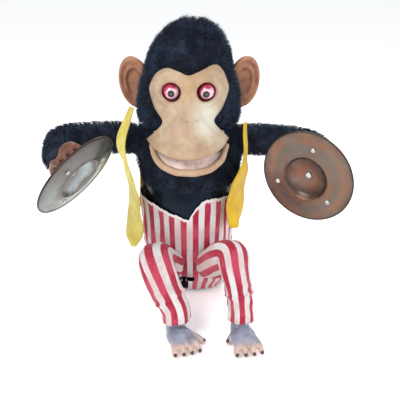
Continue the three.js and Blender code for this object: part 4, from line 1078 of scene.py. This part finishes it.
def add_chest():
    chest = Form(CHEST, 0, 3.0)
    points, faces = form_skin(chest, 113, 162.5, -3.0, 60, 150)
    faces = facing_out(points, faces)
    belly = Form([(z, w + 0.4, f + 0.4, b + 0.4) for z, w, f, b in BELLY])
    room = form_skin(belly, 100, 133.4, 0, 20, 80)

    def keep(centre, normal):
        x, y, z = centre.T
        under = normal[:, 2] < -0.9
        neck = (np.hypot(x, y) < 13) & (z > 158)
        return np.where(neck | (under & (np.hypot(x / 40, y / 38) < 0.96)), 0.0, 1.0)

    def comb(root, normal):
        lean = np.array([0.0, 0.0, -1.0]) + np.stack([0.01 * root[:, 0], 0 * root[:, 0], 0 * root[:, 0]], -1)
        return 0.75 * (lean - (lean * normal).sum(1)[:, None] * normal)

    cloth, pile = plush_piece("chest_plush", (points, faces), CHEST_STRANDS, 4.4, 31, comb, "body",
                              ("chest_plush",), keep)
    carve(cloth, [room, form_skin(Form(CHEST, 0, 3.0), 132, 157, -6, 20, 60),
                  rod_tool((0, 0, 150), (0, 0, 170), 11.5)])
    smooth_shade(cloth)


def shell_openings(radius):
    spots = [side * (HIP[0] + 1.5) for side in (-1, 1)]
    holes = [rod_tool((x, -20, 48), (x, -70, 48), radius) for x in spots]
    return holes + [box_tool((-15, -70, 21.5), (4, -25, 30))]


def add_belly():
    """The tin body: two pressed halves with a seam along each side."""
    belly = Form(BELLY, 0, 5.0)
    rows, columns = 110, 110
    heights = np.linspace(3, 132.7, rows)
    for name, low, high in (("front_shell", -math.pi, 0), ("back_shell", 0, math.pi)):
        angles = np.linspace(low + 0.004, high - 0.004, columns)
        front = np.vstack([belly.at(angles, height) for height in heights])
        points, faces, loops = thick_sheet(front, -1.2, rows, columns)
        if np.abs(points[rows * columns * 3 // 2][:2]).max() > np.abs(front[rows * columns // 2][:2]).max():
            points, faces, loops = thick_sheet(front, 1.2, rows, columns)
        shell = make_piece(name, points, facing_out(points, faces), MATERIALS["belly"], "body",
                           (name,))
        if name == "front_shell":
            carve(shell, shell_openings(8.5))
        else:
            carve(shell, [rod_tool((0, 20, 56), (0, 60, 56), 3.2)])
        smooth_shade(shell)


# ---------------------------------------------------------------- trousers

STRIPE = 11.0                   # a red and a white stripe together


def waist_height(angle):
    """The raw waist edge: a notch at the front, a long slope on one side and a short one on the other."""
    across = np.cos(angle)
    front = np.interp(across, [-1, -0.85, -0.55, -0.2, -0.02, 0.03, 0.12, 0.27, 0.37, 0.6, 1],
                      [103, 101.5, 96, 92, 89, 93, 99.5, 105, 107, 106, 104])
    back = 103.5 + 0.5 * across
    fray = 0.35 * np.sin(23 * angle) + 0.25 * np.sin(57 * angle + 1)
    return np.where(np.sin(angle) < 0, front, back) + fray


def corner_layer(piece, name, values, columns, period):
    """A face-corner attribute over a round grid, so that it doesn't jump back within the last column."""
    layer = piece.data.attributes.new(name, "FLOAT", "CORNER")
    amounts = []
    for face in [tuple(polygon.vertices) for polygon in piece.data.polygons]:
        wraps = max(i % columns for i in face) - min(i % columns for i in face) > columns // 2
        for i in face:
            amounts.append(values[i] + (period if wraps and i % columns < columns // 2 else 0.0))
    layer.data.foreach_set("value", np.array(amounts, np.float32))


def add_seat():
    belly = Form(BELLY, 0, 5.0)
    rows, columns = 120, 300
    angles = np.linspace(0, 2 * math.pi, columns, endpoint=False)
    pairs = 24
    front_rows = []
    for row in range(rows):
        share = row / (rows - 1)
        z = mix(3.2, waist_height(angles), share)
        fold = 0.55 * np.sin(9 * angles + 0.08 * z) * np.sin(0.07 * z + 2 * np.cos(3 * angles))
        fold += 0.35 * np.sin(21 * angles - 0.12 * z)
        pleat = 1.0 * np.exp(-((z - 52 - 2.0 * np.cos(angles * 2)) / 1.2)**2) * (np.sin(angles) < 0)
        crumple = 0.8 * np.sin(0.33 * z + 5 * angles) * smoothstep(46, 25, z)
        flare = 3.5 * smoothstep(-0.6, -0.95, np.cos(angles)) * smoothstep(40, 62, z)
        centre_seam = -0.7 * np.exp(-((np.cos(angles) + 0.03) / 0.022)**2) * (np.sin(angles) < 0)
        offset = 2.6 + fold * smoothstep(0.0, 0.15, 1 - share) + pleat + crumple + centre_seam + flare
        front_rows.append(np.stack([*belly.at(angles, z, np.maximum(offset, 1.9)).T[:2], z], -1))
    front = np.vstack(front_rows)
    points, faces, loops = thick_sheet(front, 0.7, rows, columns, round_columns=True)
    lay = np.concatenate([np.arange(rows), [rows - 1], np.arange(rows)[::-1], [0]])
    faces = facing_out(points, faces)
    edge = np.repeat(smoothstep(0.970, 0.985, np.linspace(0, 1, rows))[lay], columns)
    seat = make_piece("trouser_seat", points, faces, MATERIALS["stripes"], "body",
                      ("trouser_seat",), values={"edge": edge, "along": points[:, 2]})
    around = np.tile(np.arange(columns) / columns * pairs * STRIPE, len(lay))
    corner_layer(seat, "stripe", around, columns, pairs * STRIPE)
    carve(seat, shell_openings(7.5)[:2] + [rod_tool((0, 20, 56), (0, 60, 56), 3.6), shell_openings(8)[2]])
    smooth_shade(seat)


def add_trouser_leg(word, side, path, place, sizes):
    root = (side * 17.5, -34, 45)
    line = [root, (side * 19, -43, 47), *path[1:-1], (path[-1][0], path[-1][1], 27), (*place, 17.2)]
    count, columns, pairs = 120, 120, 7
    spine, length = smooth_path(line, count)
    tangents, normals, sideways = tube_frames(spine)
    angles = np.linspace(0, 2 * math.pi, columns, endpoint=False)
    shares = np.linspace(0, 1, count)
    radii = np.interp(shares, np.linspace(0, 1, 7), sizes)
    seed = 1.7 if side > 0 else 0.4
    rings = []
    for step, share in enumerate(shares):
        knee = np.exp(-((share - 0.45) / 0.1)**2)
        inner = np.clip(-np.cos(angles - 0.3 * side), 0, 1)
        fold = 0.5 * np.sin(5 * angles + 9 * share + seed) + 0.3 * np.sin(11 * angles - 14 * share)
        ruck = 0.9 * np.sin(46 * share + 1.5 * np.sin(2 * angles + seed)) * smoothstep(0.62, 0.74, share) \
            * smoothstep(0.98, 0.86, share) * (0.55 + 0.45 * np.sin(angles * 2 + seed))
        tuck = 1.6 * np.exp(-((share - 0.79 - 0.02 * np.sin(2 * angles)) / 0.016)**2)
        stitch = -0.22 * np.exp(-((share - 0.945) / 0.004)**2) - 0.22 * np.exp(-((share - 0.96) / 0.004)**2)
        size = radii[step] + fold + ruck + tuck + stitch - 2.2 * knee * inner
        rings.append(spine[step] + size[:, None] * (np.cos(angles)[:, None] * normals[step]
                                                     + np.sin(angles)[:, None] * sideways[step]))
    cuff = [spine[-1] + (rings[-1] - spine[-1]) * 0.985 + tangents[-1] * 0.35]
    lining = [spine[k] + (rings[k] - spine[k]) * 0.93 for k in range(count - 1, count - 26, -1)]
    points = np.vstack(rings + cuff + lining)
    rows = len(points) // columns
    low = points[:, 2] < 17.6
    points[low, 2] = 17.6 + 0.25 * (points[low, 2] - 17.6)
    faces = grid_faces(rows, columns, round_columns=True)
    faces.append(tuple(range(columns))[::-1])
    faces.append(tuple((rows - 1) * columns + i for i in range(columns)))
    faces = facing_out(points, faces)
    along = np.concatenate([shares * length, [length], np.linspace(length, length * 0.8, len(lining))])
    leg = make_piece(f"trouser_leg_{word}", points, faces, MATERIALS["stripes"], None,
                     (f"trouser_leg_{word}",), values={"along": np.repeat(along, columns),
                                                       "edge": np.zeros(rows * columns)})
    around = np.tile(np.arange(columns) / columns * pairs * STRIPE, rows)
    corner_layer(leg, "stripe", around, columns, pairs * STRIPE)
    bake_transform(leg)


def foot_parts(big_toe):
    """A chimp's foot about its ankle at the origin, toes towards -Y; the big toe points sideways."""
    parts = [ellipsoid((0, -10, 6.2), (11.2, 17, 7.3)), ellipsoid((0, 2, 7.8), (8.6, 9.6, 8.6)),
             rod_tool((0, 0, 5), (0, 0, 26), 6.4)]
    tips = []
    for place in (-1.5, -0.5, 0.5, 1.5):
        end = np.array([place * 7.0, -32 + abs(place), 3.6])
        path = [(place * 5, -18, 8.2), (place * 6, -25, 8.0), (place * 6.6, -29.5 + abs(place), 6.0), end]
        parts.append(tube(path, lambda t, a: mix(3.3, 2.55, t), 20, 14, True, True))
        tips.append((end + (0, -1.6, 0.9), (0, -0.75, 0.65)))
    toe_x, toe_y = big_toe
    thumb_end = np.array([toe_x, toe_y, 4.0])
    thumb_path = [(0.3 * toe_x, min(0.3 * toe_y, -5), 7), (0.7 * toe_x, min(0.7 * toe_y, -7), 6.0), thumb_end]
    parts.append(tube(thumb_path, lambda t, a: mix(4.2, 3.0, t), 20, 14, True, True))
    outward = math.copysign(1, toe_x)
    tips.append((thumb_end + (outward * 1.4, -1.2, 1.4), (outward * 0.5, -0.4, 0.75)))
    return parts, tips


def add_foot(word, place, turn, big_toe):
    parts, tips = foot_parts(big_toe)
    points, faces = fused(parts, 0.75, 14)
    x, y, z = points.T
    toe = smoothstep(-13, -23, y) * smoothstep(11.5, 6.5, z + 0.15 * (y + 20))
    toe = np.maximum(toe, smoothstep(9.5, 13.5, np.abs(x)) * smoothstep(-4, -14, y) * 0.6)
    toe = np.maximum(toe, smoothstep(5.5, 2.0, z) * 0.8)
    z = np.maximum(z, 0.02)
    local = np.stack([x, y, z], -1)
    spin = np.array([[math.cos(turn), -math.sin(turn), 0], [math.sin(turn), math.cos(turn), 0], [0, 0, 1]])
    home = np.array([*place, 0.0])
    make_piece(f"foot_{word}", local @ spin.T + home, facing_out(local, faces), MATERIALS["foot"],
               f"leg_{word}", (f"foot_{word}",), values={"toe": np.clip(toe, 0, 1)})
    nails = []
    for tip, normal in tips:
        nail_points, nail_faces = ellipsoid((0, 0, 0), (1.5, 1.75, 0.75), 20, 10)
        nails.append((turned_about(nail_points, tip, normal), nail_faces))
    points, faces = joined(nails)
    make_piece(f"toenails_{word}", points @ spin.T + home, facing_out(points, faces), MATERIALS["nail"],
               f"leg_{word}")


# ---------------------------------------------------------------- vest

# The front panels by height: x and y of the front edge, then x and y of the side edge. From the arm up they
# are a loose band in front of the shoulder.
VEST_LEFT = [
    (60, -46, -35, -52, -31), (66, -41.5, -37, -56, -29), (74, -39.5, -38.5, -57, -26),
    (84, -39.5, -39.5, -55.5, -20), (97, -43.5, -37.5, -52, -13), (109, -44, -37, -52, -10),
    (120, -46.5, -36, -53.5, -10), (130, -49.5, -34.5, -55, -15), (140, -52.5, -32.5, -58.5, -21),
    (152, -54, -31, -61.5, -24),
    (162, -52.5, -29.5, -60.5, -23.5), (172, -49, -26.5, -55.5, -21), (185, -45.5, -22, -49.5, -18),
]
VEST_RIGHT = [
    (79, 34.5, -38, 42, -32), (84, 31.5, -41, 46, -24), (94, 30.5, -42, 48, -17), (104, 31.5, -42, 48.5, -12),
    (114, 33.5, -42, 49, -10), (122, 36.5, -41, 49.5, -12), (130, 41.5, -38.5, 50.5, -18),
    (138, 44.5, -36, 49.5, -23), (150, 46.5, -31.5, 49.5, -23.5), (162, 45.5, -28.5, 48.5, -21.5),
    (171, 46, -22, 48.5, -17.5),
]


def vest_front(table, seed):
    rows, columns = 110, 50
    across = np.linspace(0, 1, columns)
    edges = [softened([(row[0], row[k]) for row in table], 1, 7.0) for k in (1, 2, 3, 4)]
    out = np.sign(table[0][3])
    grid = []
    for height in np.linspace(table[0][0], table[-1][0], rows):
        front_x, front_y, side_x, side_y = (edge(height) for edge in edges)
        curve = 1.4 + 11 * across * (1 - across) * smoothstep(150, 118, height)
        wave = 0.9 * np.sin(0.085 * height + 3.5 * across + seed) + 0.5 * np.sin(0.23 * height + 5 * across)
        x = mix(front_x, side_x, across) + out * (curve + wave * smoothstep(150, 120, height))
        y = mix(front_y, side_y, across) + 0.3 * wave
        grid.append(np.stack([x, y, height + 0 * across], -1))
    return grid, (rows, columns)


def vest_back():
    chest = Form(CHEST, 0, 3.0)
    rows, columns = 80, 110
    turn = np.linspace(math.pi - 0.30, 0.30, columns)
    grid = []
    for height in np.linspace(80, 157, rows):
        wave = 0.8 * np.sin(0.09 * height + 9 * turn) * smoothstep(140, 110, height)
        x, y, _ = chest.at(turn, np.clip(height, 125, 158), 3.0 + wave).T
        grid.append(np.stack([x, y, height + 0 * turn], -1))
    return grid, (rows, columns)


def vest_piece(name, surface, holes):
    grid, (rows, columns) = surface
    front = np.vstack(grid)
    points, faces, loops = thick_sheet(front, 1.1, rows, columns)
    if np.linalg.norm(points[rows * columns * 3 // 2][:2]) > np.linalg.norm(front[rows * columns // 2][:2]):
        points, faces, loops = thick_sheet(front, -1.1, rows, columns)
    loose = name != "vest_back"
    piece = make_piece(name, points, facing_out(points, faces), MATERIALS[name], None if loose else "body",
                       (name,))
    if holes:
        carve(piece, [ellipsoid((side * 52, -3, 150), (17, 26, 19), 48, 30) for side in (-1, 1)])
    smooth_shade(piece)
    return piece


def add_vest():
    left = vest_piece("vest_left", vest_front(VEST_LEFT, 1.9), False)
    right = vest_piece("vest_right", vest_front(VEST_RIGHT, 0.3), False)
    back = vest_piece("vest_back", vest_back(), True)
    for word, side, piece, near in (("left", -1, left, 48.5), ("right", 1, right, 44.0)):
        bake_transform(piece)


# ---------------------------------------------------------------- arms

def hand_parts(side):
    """A curled hand behind a cymbal, in the cymbal's own frame."""
    parts = [ellipsoid((0, 0, -13), (11, 14, 7.2)), ellipsoid((side * 4, 8, -17), (9, 9, 7))]
    for row in (-1, 0, 1, 2):
        path = [(side * 1, 4 - 6.3 * row, -15.5), (side * 9, 4 - 6.6 * row, -15),
                (side * 15, 4 - 6.8 * row, -12.4), (side * 19.2, 4 - 6.8 * row, -8.2)]
        parts.append(tube(path, lambda t, a: mix(3.35, 2.6, t) * (1 + 0.06 * math.cos(9 * t)),
                          20, 18, True, True))
    thumb = [(0, 8, -12), (-side * 9, 10, -11), (-side * 15, 8, -8.5)]
    parts.append(tube(thumb, lambda t, a: mix(3.7, 2.8, t), 20, 14, True, True))
    return parts


def add_arm(word, side, centre, normal, first_rivet, path):
    radii = np.array(ARM_RADII) - 2.6

    def radius(share, angles):
        return np.interp(share, np.linspace(0, 1, 6), radii) * (1 + 0.03 * np.sin(3 * angles + 9 * share))

    points, faces = tube(path, radius, 60, 90, round_start=True, round_end=False)
    faces = facing_out(points, faces)
    spine, _ = smooth_path(path, 60)
    tangents = np.gradient(spine, axis=0)
    tangents /= np.linalg.norm(tangents, axis=1)[:, None]

    def comb(root, normal):
        nearest = np.argmin(((root[:, None] - spine[None]) ** 2).sum(-1), axis=1)
        lean = 0.85 * tangents[nearest] + np.array([0, 0, -0.35])
        return lean - (lean * normal).sum(1)[:, None] * normal

    plush_piece(f"arm_plush_{word}", (points, faces), ARM_STRANDS, 4.2, 41 + side, comb, f"arm_{word}",
                (f"arm_plush_{word}",))

    body = f"arm_{word}"
    profile = rounded_profile([
        (1.6, -3.9), (6.2, -3.7), (16.2, -0.4), (18.8, 3.2), (35, -0.6), (38, -0.9), (38.2, 0.1),
        (35, 0.4), (20.2, 3.7), (18.6, 4.2), (17.6, 3.0), (15.5, 0.4), (6, -2.8), (1.6, -3),
    ])
    dish, dish_faces = lathe(profile, 160)
    dish = turned_about(dish, centre, normal)
    make_piece(f"cymbal_{word}", dish, facing_out(dish, dish_faces), MATERIALS[f"bronze_{word}"], body,
               (f"cymbal_{word}",))
    rim = [(38.1, -1.2), (38.6, -0.6), (38.6, 0.0), (38.1, 0.4), (37.5, 0.45), (37.5, -1.2)]
    edge, edge_faces = lathe(rounded_profile(rim), 160)
    edge = turned_about(edge, centre, normal)
    make_piece(f"cymbal_hem_{word}", edge, facing_out(edge, edge_faces), MATERIALS["hem"], body)
    spots = [(first_rivet + 2 * math.pi * i / 3, i + 1) for i in range(3)]
    for angle, number in spots:
        head, head_faces = rivet(2.0, 2.7, 1.0, 0.4)
        head = head + np.array([RIVET_CIRCLE_R * math.cos(angle), RIVET_CIRCLE_R * math.sin(angle), 0])
        head = turned_about(head, centre, normal)
        make_piece(f"rim_rivet_{word}_{number}", head, facing_out(head, head_faces), MATERIALS["tin"], body,
                   (f"rim_rivet_{word}_{number}",))
    head, head_faces = rivet(2.6, -2.7, 1.2, -12)
    head = turned_about(head, centre, normal)
    make_piece(f"centre_rivet_{word}", head, facing_out(head, head_faces), MATERIALS["tin"], body,
               (f"centre_rivet_{word}",))

    skin, skin_faces = fused(hand_parts(side), 0.8, 10)
    # Painted shade in bands across the fingers.
    knuckle_shade = np.clip(0.5 + 0.5 * np.sin(skin[:, 0] * 0.9), 0, 1) * 0.3
    skin = turned_about(skin, centre, normal)
    make_piece(f"hand_{word}", skin, facing_out(skin, skin_faces), MATERIALS["hand"], body,
               (f"hand_{word}",), values={"painted_shade": knuckle_shade})


def rivet(radius, top, shank, bottom):
    """A domed rivet about Z: its head's underside is at top, its shank runs down to bottom."""
    profile = [(0.01, bottom), (shank, bottom), (shank, top), (radius * 0.98, top), (radius, top + 0.25)]
    profile += [(radius * math.cos(t), top + 0.25 + 1.0 * math.sin(t)) for t in np.linspace(0.15, 1.5, 10)]
    profile += [(0.01, top + 1.25)]
    return lathe(profile, 40)


# ---------------------------------------------------------------- clockwork and small parts

def finish_frame_parts():
    """The CAD's own hidden and mechanical parts keep their shapes and get materials."""
    looks = {
        "tin": ["base_plate", "motor_plate_front", "motor_plate_back", "shoulder_bridge", "neck_post",
                "hip_bracket", "head_shell", "jaw_pivot_left", "jaw_pivot_right", "neck_sleeve", "eye_yoke",
                "winding_key", "winding_arbor", "arm_wire_left", "arm_wire_right", "leg_wire_left",
                "leg_wire_right"],
        "brass": ["great_wheel", "second_wheel", "crank_wheel", "governor_fly"],
        "steel": ["mainspring", "head_spring"],
        "belly": ["stop_lever"],
    }
    for look, names in looks.items():
        for name in names:
            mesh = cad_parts[name].data
            mesh.materials.clear()
            mesh.materials.append(MATERIALS[look])


HEAD_STRANDS = 17000
CHEST_STRANDS = 9000
ARM_STRANDS = 8000

MATERIALS = {
    "plush": plush_material(),
    "face": face_material(),
    "mouth": mouth_material(),
    "ear": vinyl_material("ear_vinyl", (0.44, 0.20, 0.11), (0.26, 0.10, 0.055)),
    "hand": vinyl_material("hand_vinyl", (0.20, 0.062, 0.030), (0.10, 0.030, 0.018)),
    "foot": foot_material(),
    "nail": plain("toenail_paint", (0.035, 0.028, 0.028), 0.35),
    "eye": eye_material(),
    "eyelid": plain("eyelid_paint", (0.22, 0.012, 0.035), 0.35),
    "belly": belly_material(),
    # The left front's felt is coloured a paler, less orange yellow than the right front's.
    "vest_left": felt_material("vest_felt_paler", (0.72, 0.62, 0.17), (0.56, 0.44, 0.08), (0.42, 0.36, 0.26)),
    "vest_right": felt_material("vest_felt_bright", (0.72, 0.47, 0.008), (0.60, 0.34, 0.006),
                                (0.28, 0.10, 0.008)),
    "vest_back": felt_material("vest_felt_back", (0.80, 0.55, 0.04), (0.66, 0.42, 0.02), (0.34, 0.18, 0.03)),
    "stripes": stripe_material(),
    # Left cymbal: the bright ring in the cup (0.36) is a painted reflection and the dark ring at the step
    # (0.48) painted shade; the rest are tarnish.
    "bronze_left": cymbal_material("cymbal_bronze_left", ARMS["left"]["centre"], [
        (0.0, (0.36, 0.43, 0.44)), (0.36, (0.50, 0.60, 0.62)), (0.48, (0.15, 0.13, 0.12)),
        (0.60, (0.30, 0.33, 0.32)), (0.85, (0.23, 0.25, 0.24)), (1.0, (0.13, 0.13, 0.12)),
    ], (0.22, 0.20, 0.17), 0.4),
    # Right cymbal: the dark ring at the step (0.42) is painted shade; the rest are tarnish and patina.
    "bronze_right": cymbal_material("cymbal_bronze_right", ARMS["right"]["centre"], [
        (0.0, (0.20, 0.09, 0.055)), (0.22, (0.22, 0.09, 0.055)), (0.42, (0.075, 0.05, 0.042)),
        (0.52, (0.22, 0.115, 0.075)), (0.66, (0.155, 0.12, 0.10)), (0.82, (0.25, 0.125, 0.08)),
        (1.0, (0.10, 0.075, 0.058)),
    ], (0.16, 0.15, 0.135), 0.6),
    "hem": plain("cymbal_hem", (0.05, 0.035, 0.028), 0.4, 0.8),
    "tin": tin_material("bare_tin", (0.62, 0.62, 0.61)),
    "brass": tin_material("brass_wheel", (0.66, 0.47, 0.17)),
    "steel": tin_material("spring_steel", (0.22, 0.26, 0.32)),
}

add_camera()
add_studio()
add_face()
add_eyes()
add_jaw()
add_ears()
add_head_plush()
add_chest()
add_belly()
add_seat()
for word, leg in LEGS.items():
    add_trouser_leg(word, leg["side"], leg["path"], leg["foot"], leg["radii"])
    add_foot(word, leg["foot"], leg["turn"], leg["big_toe"])
add_vest()
for word, arm in ARMS.items():
    add_arm(word, **arm)
finish_frame_parts()
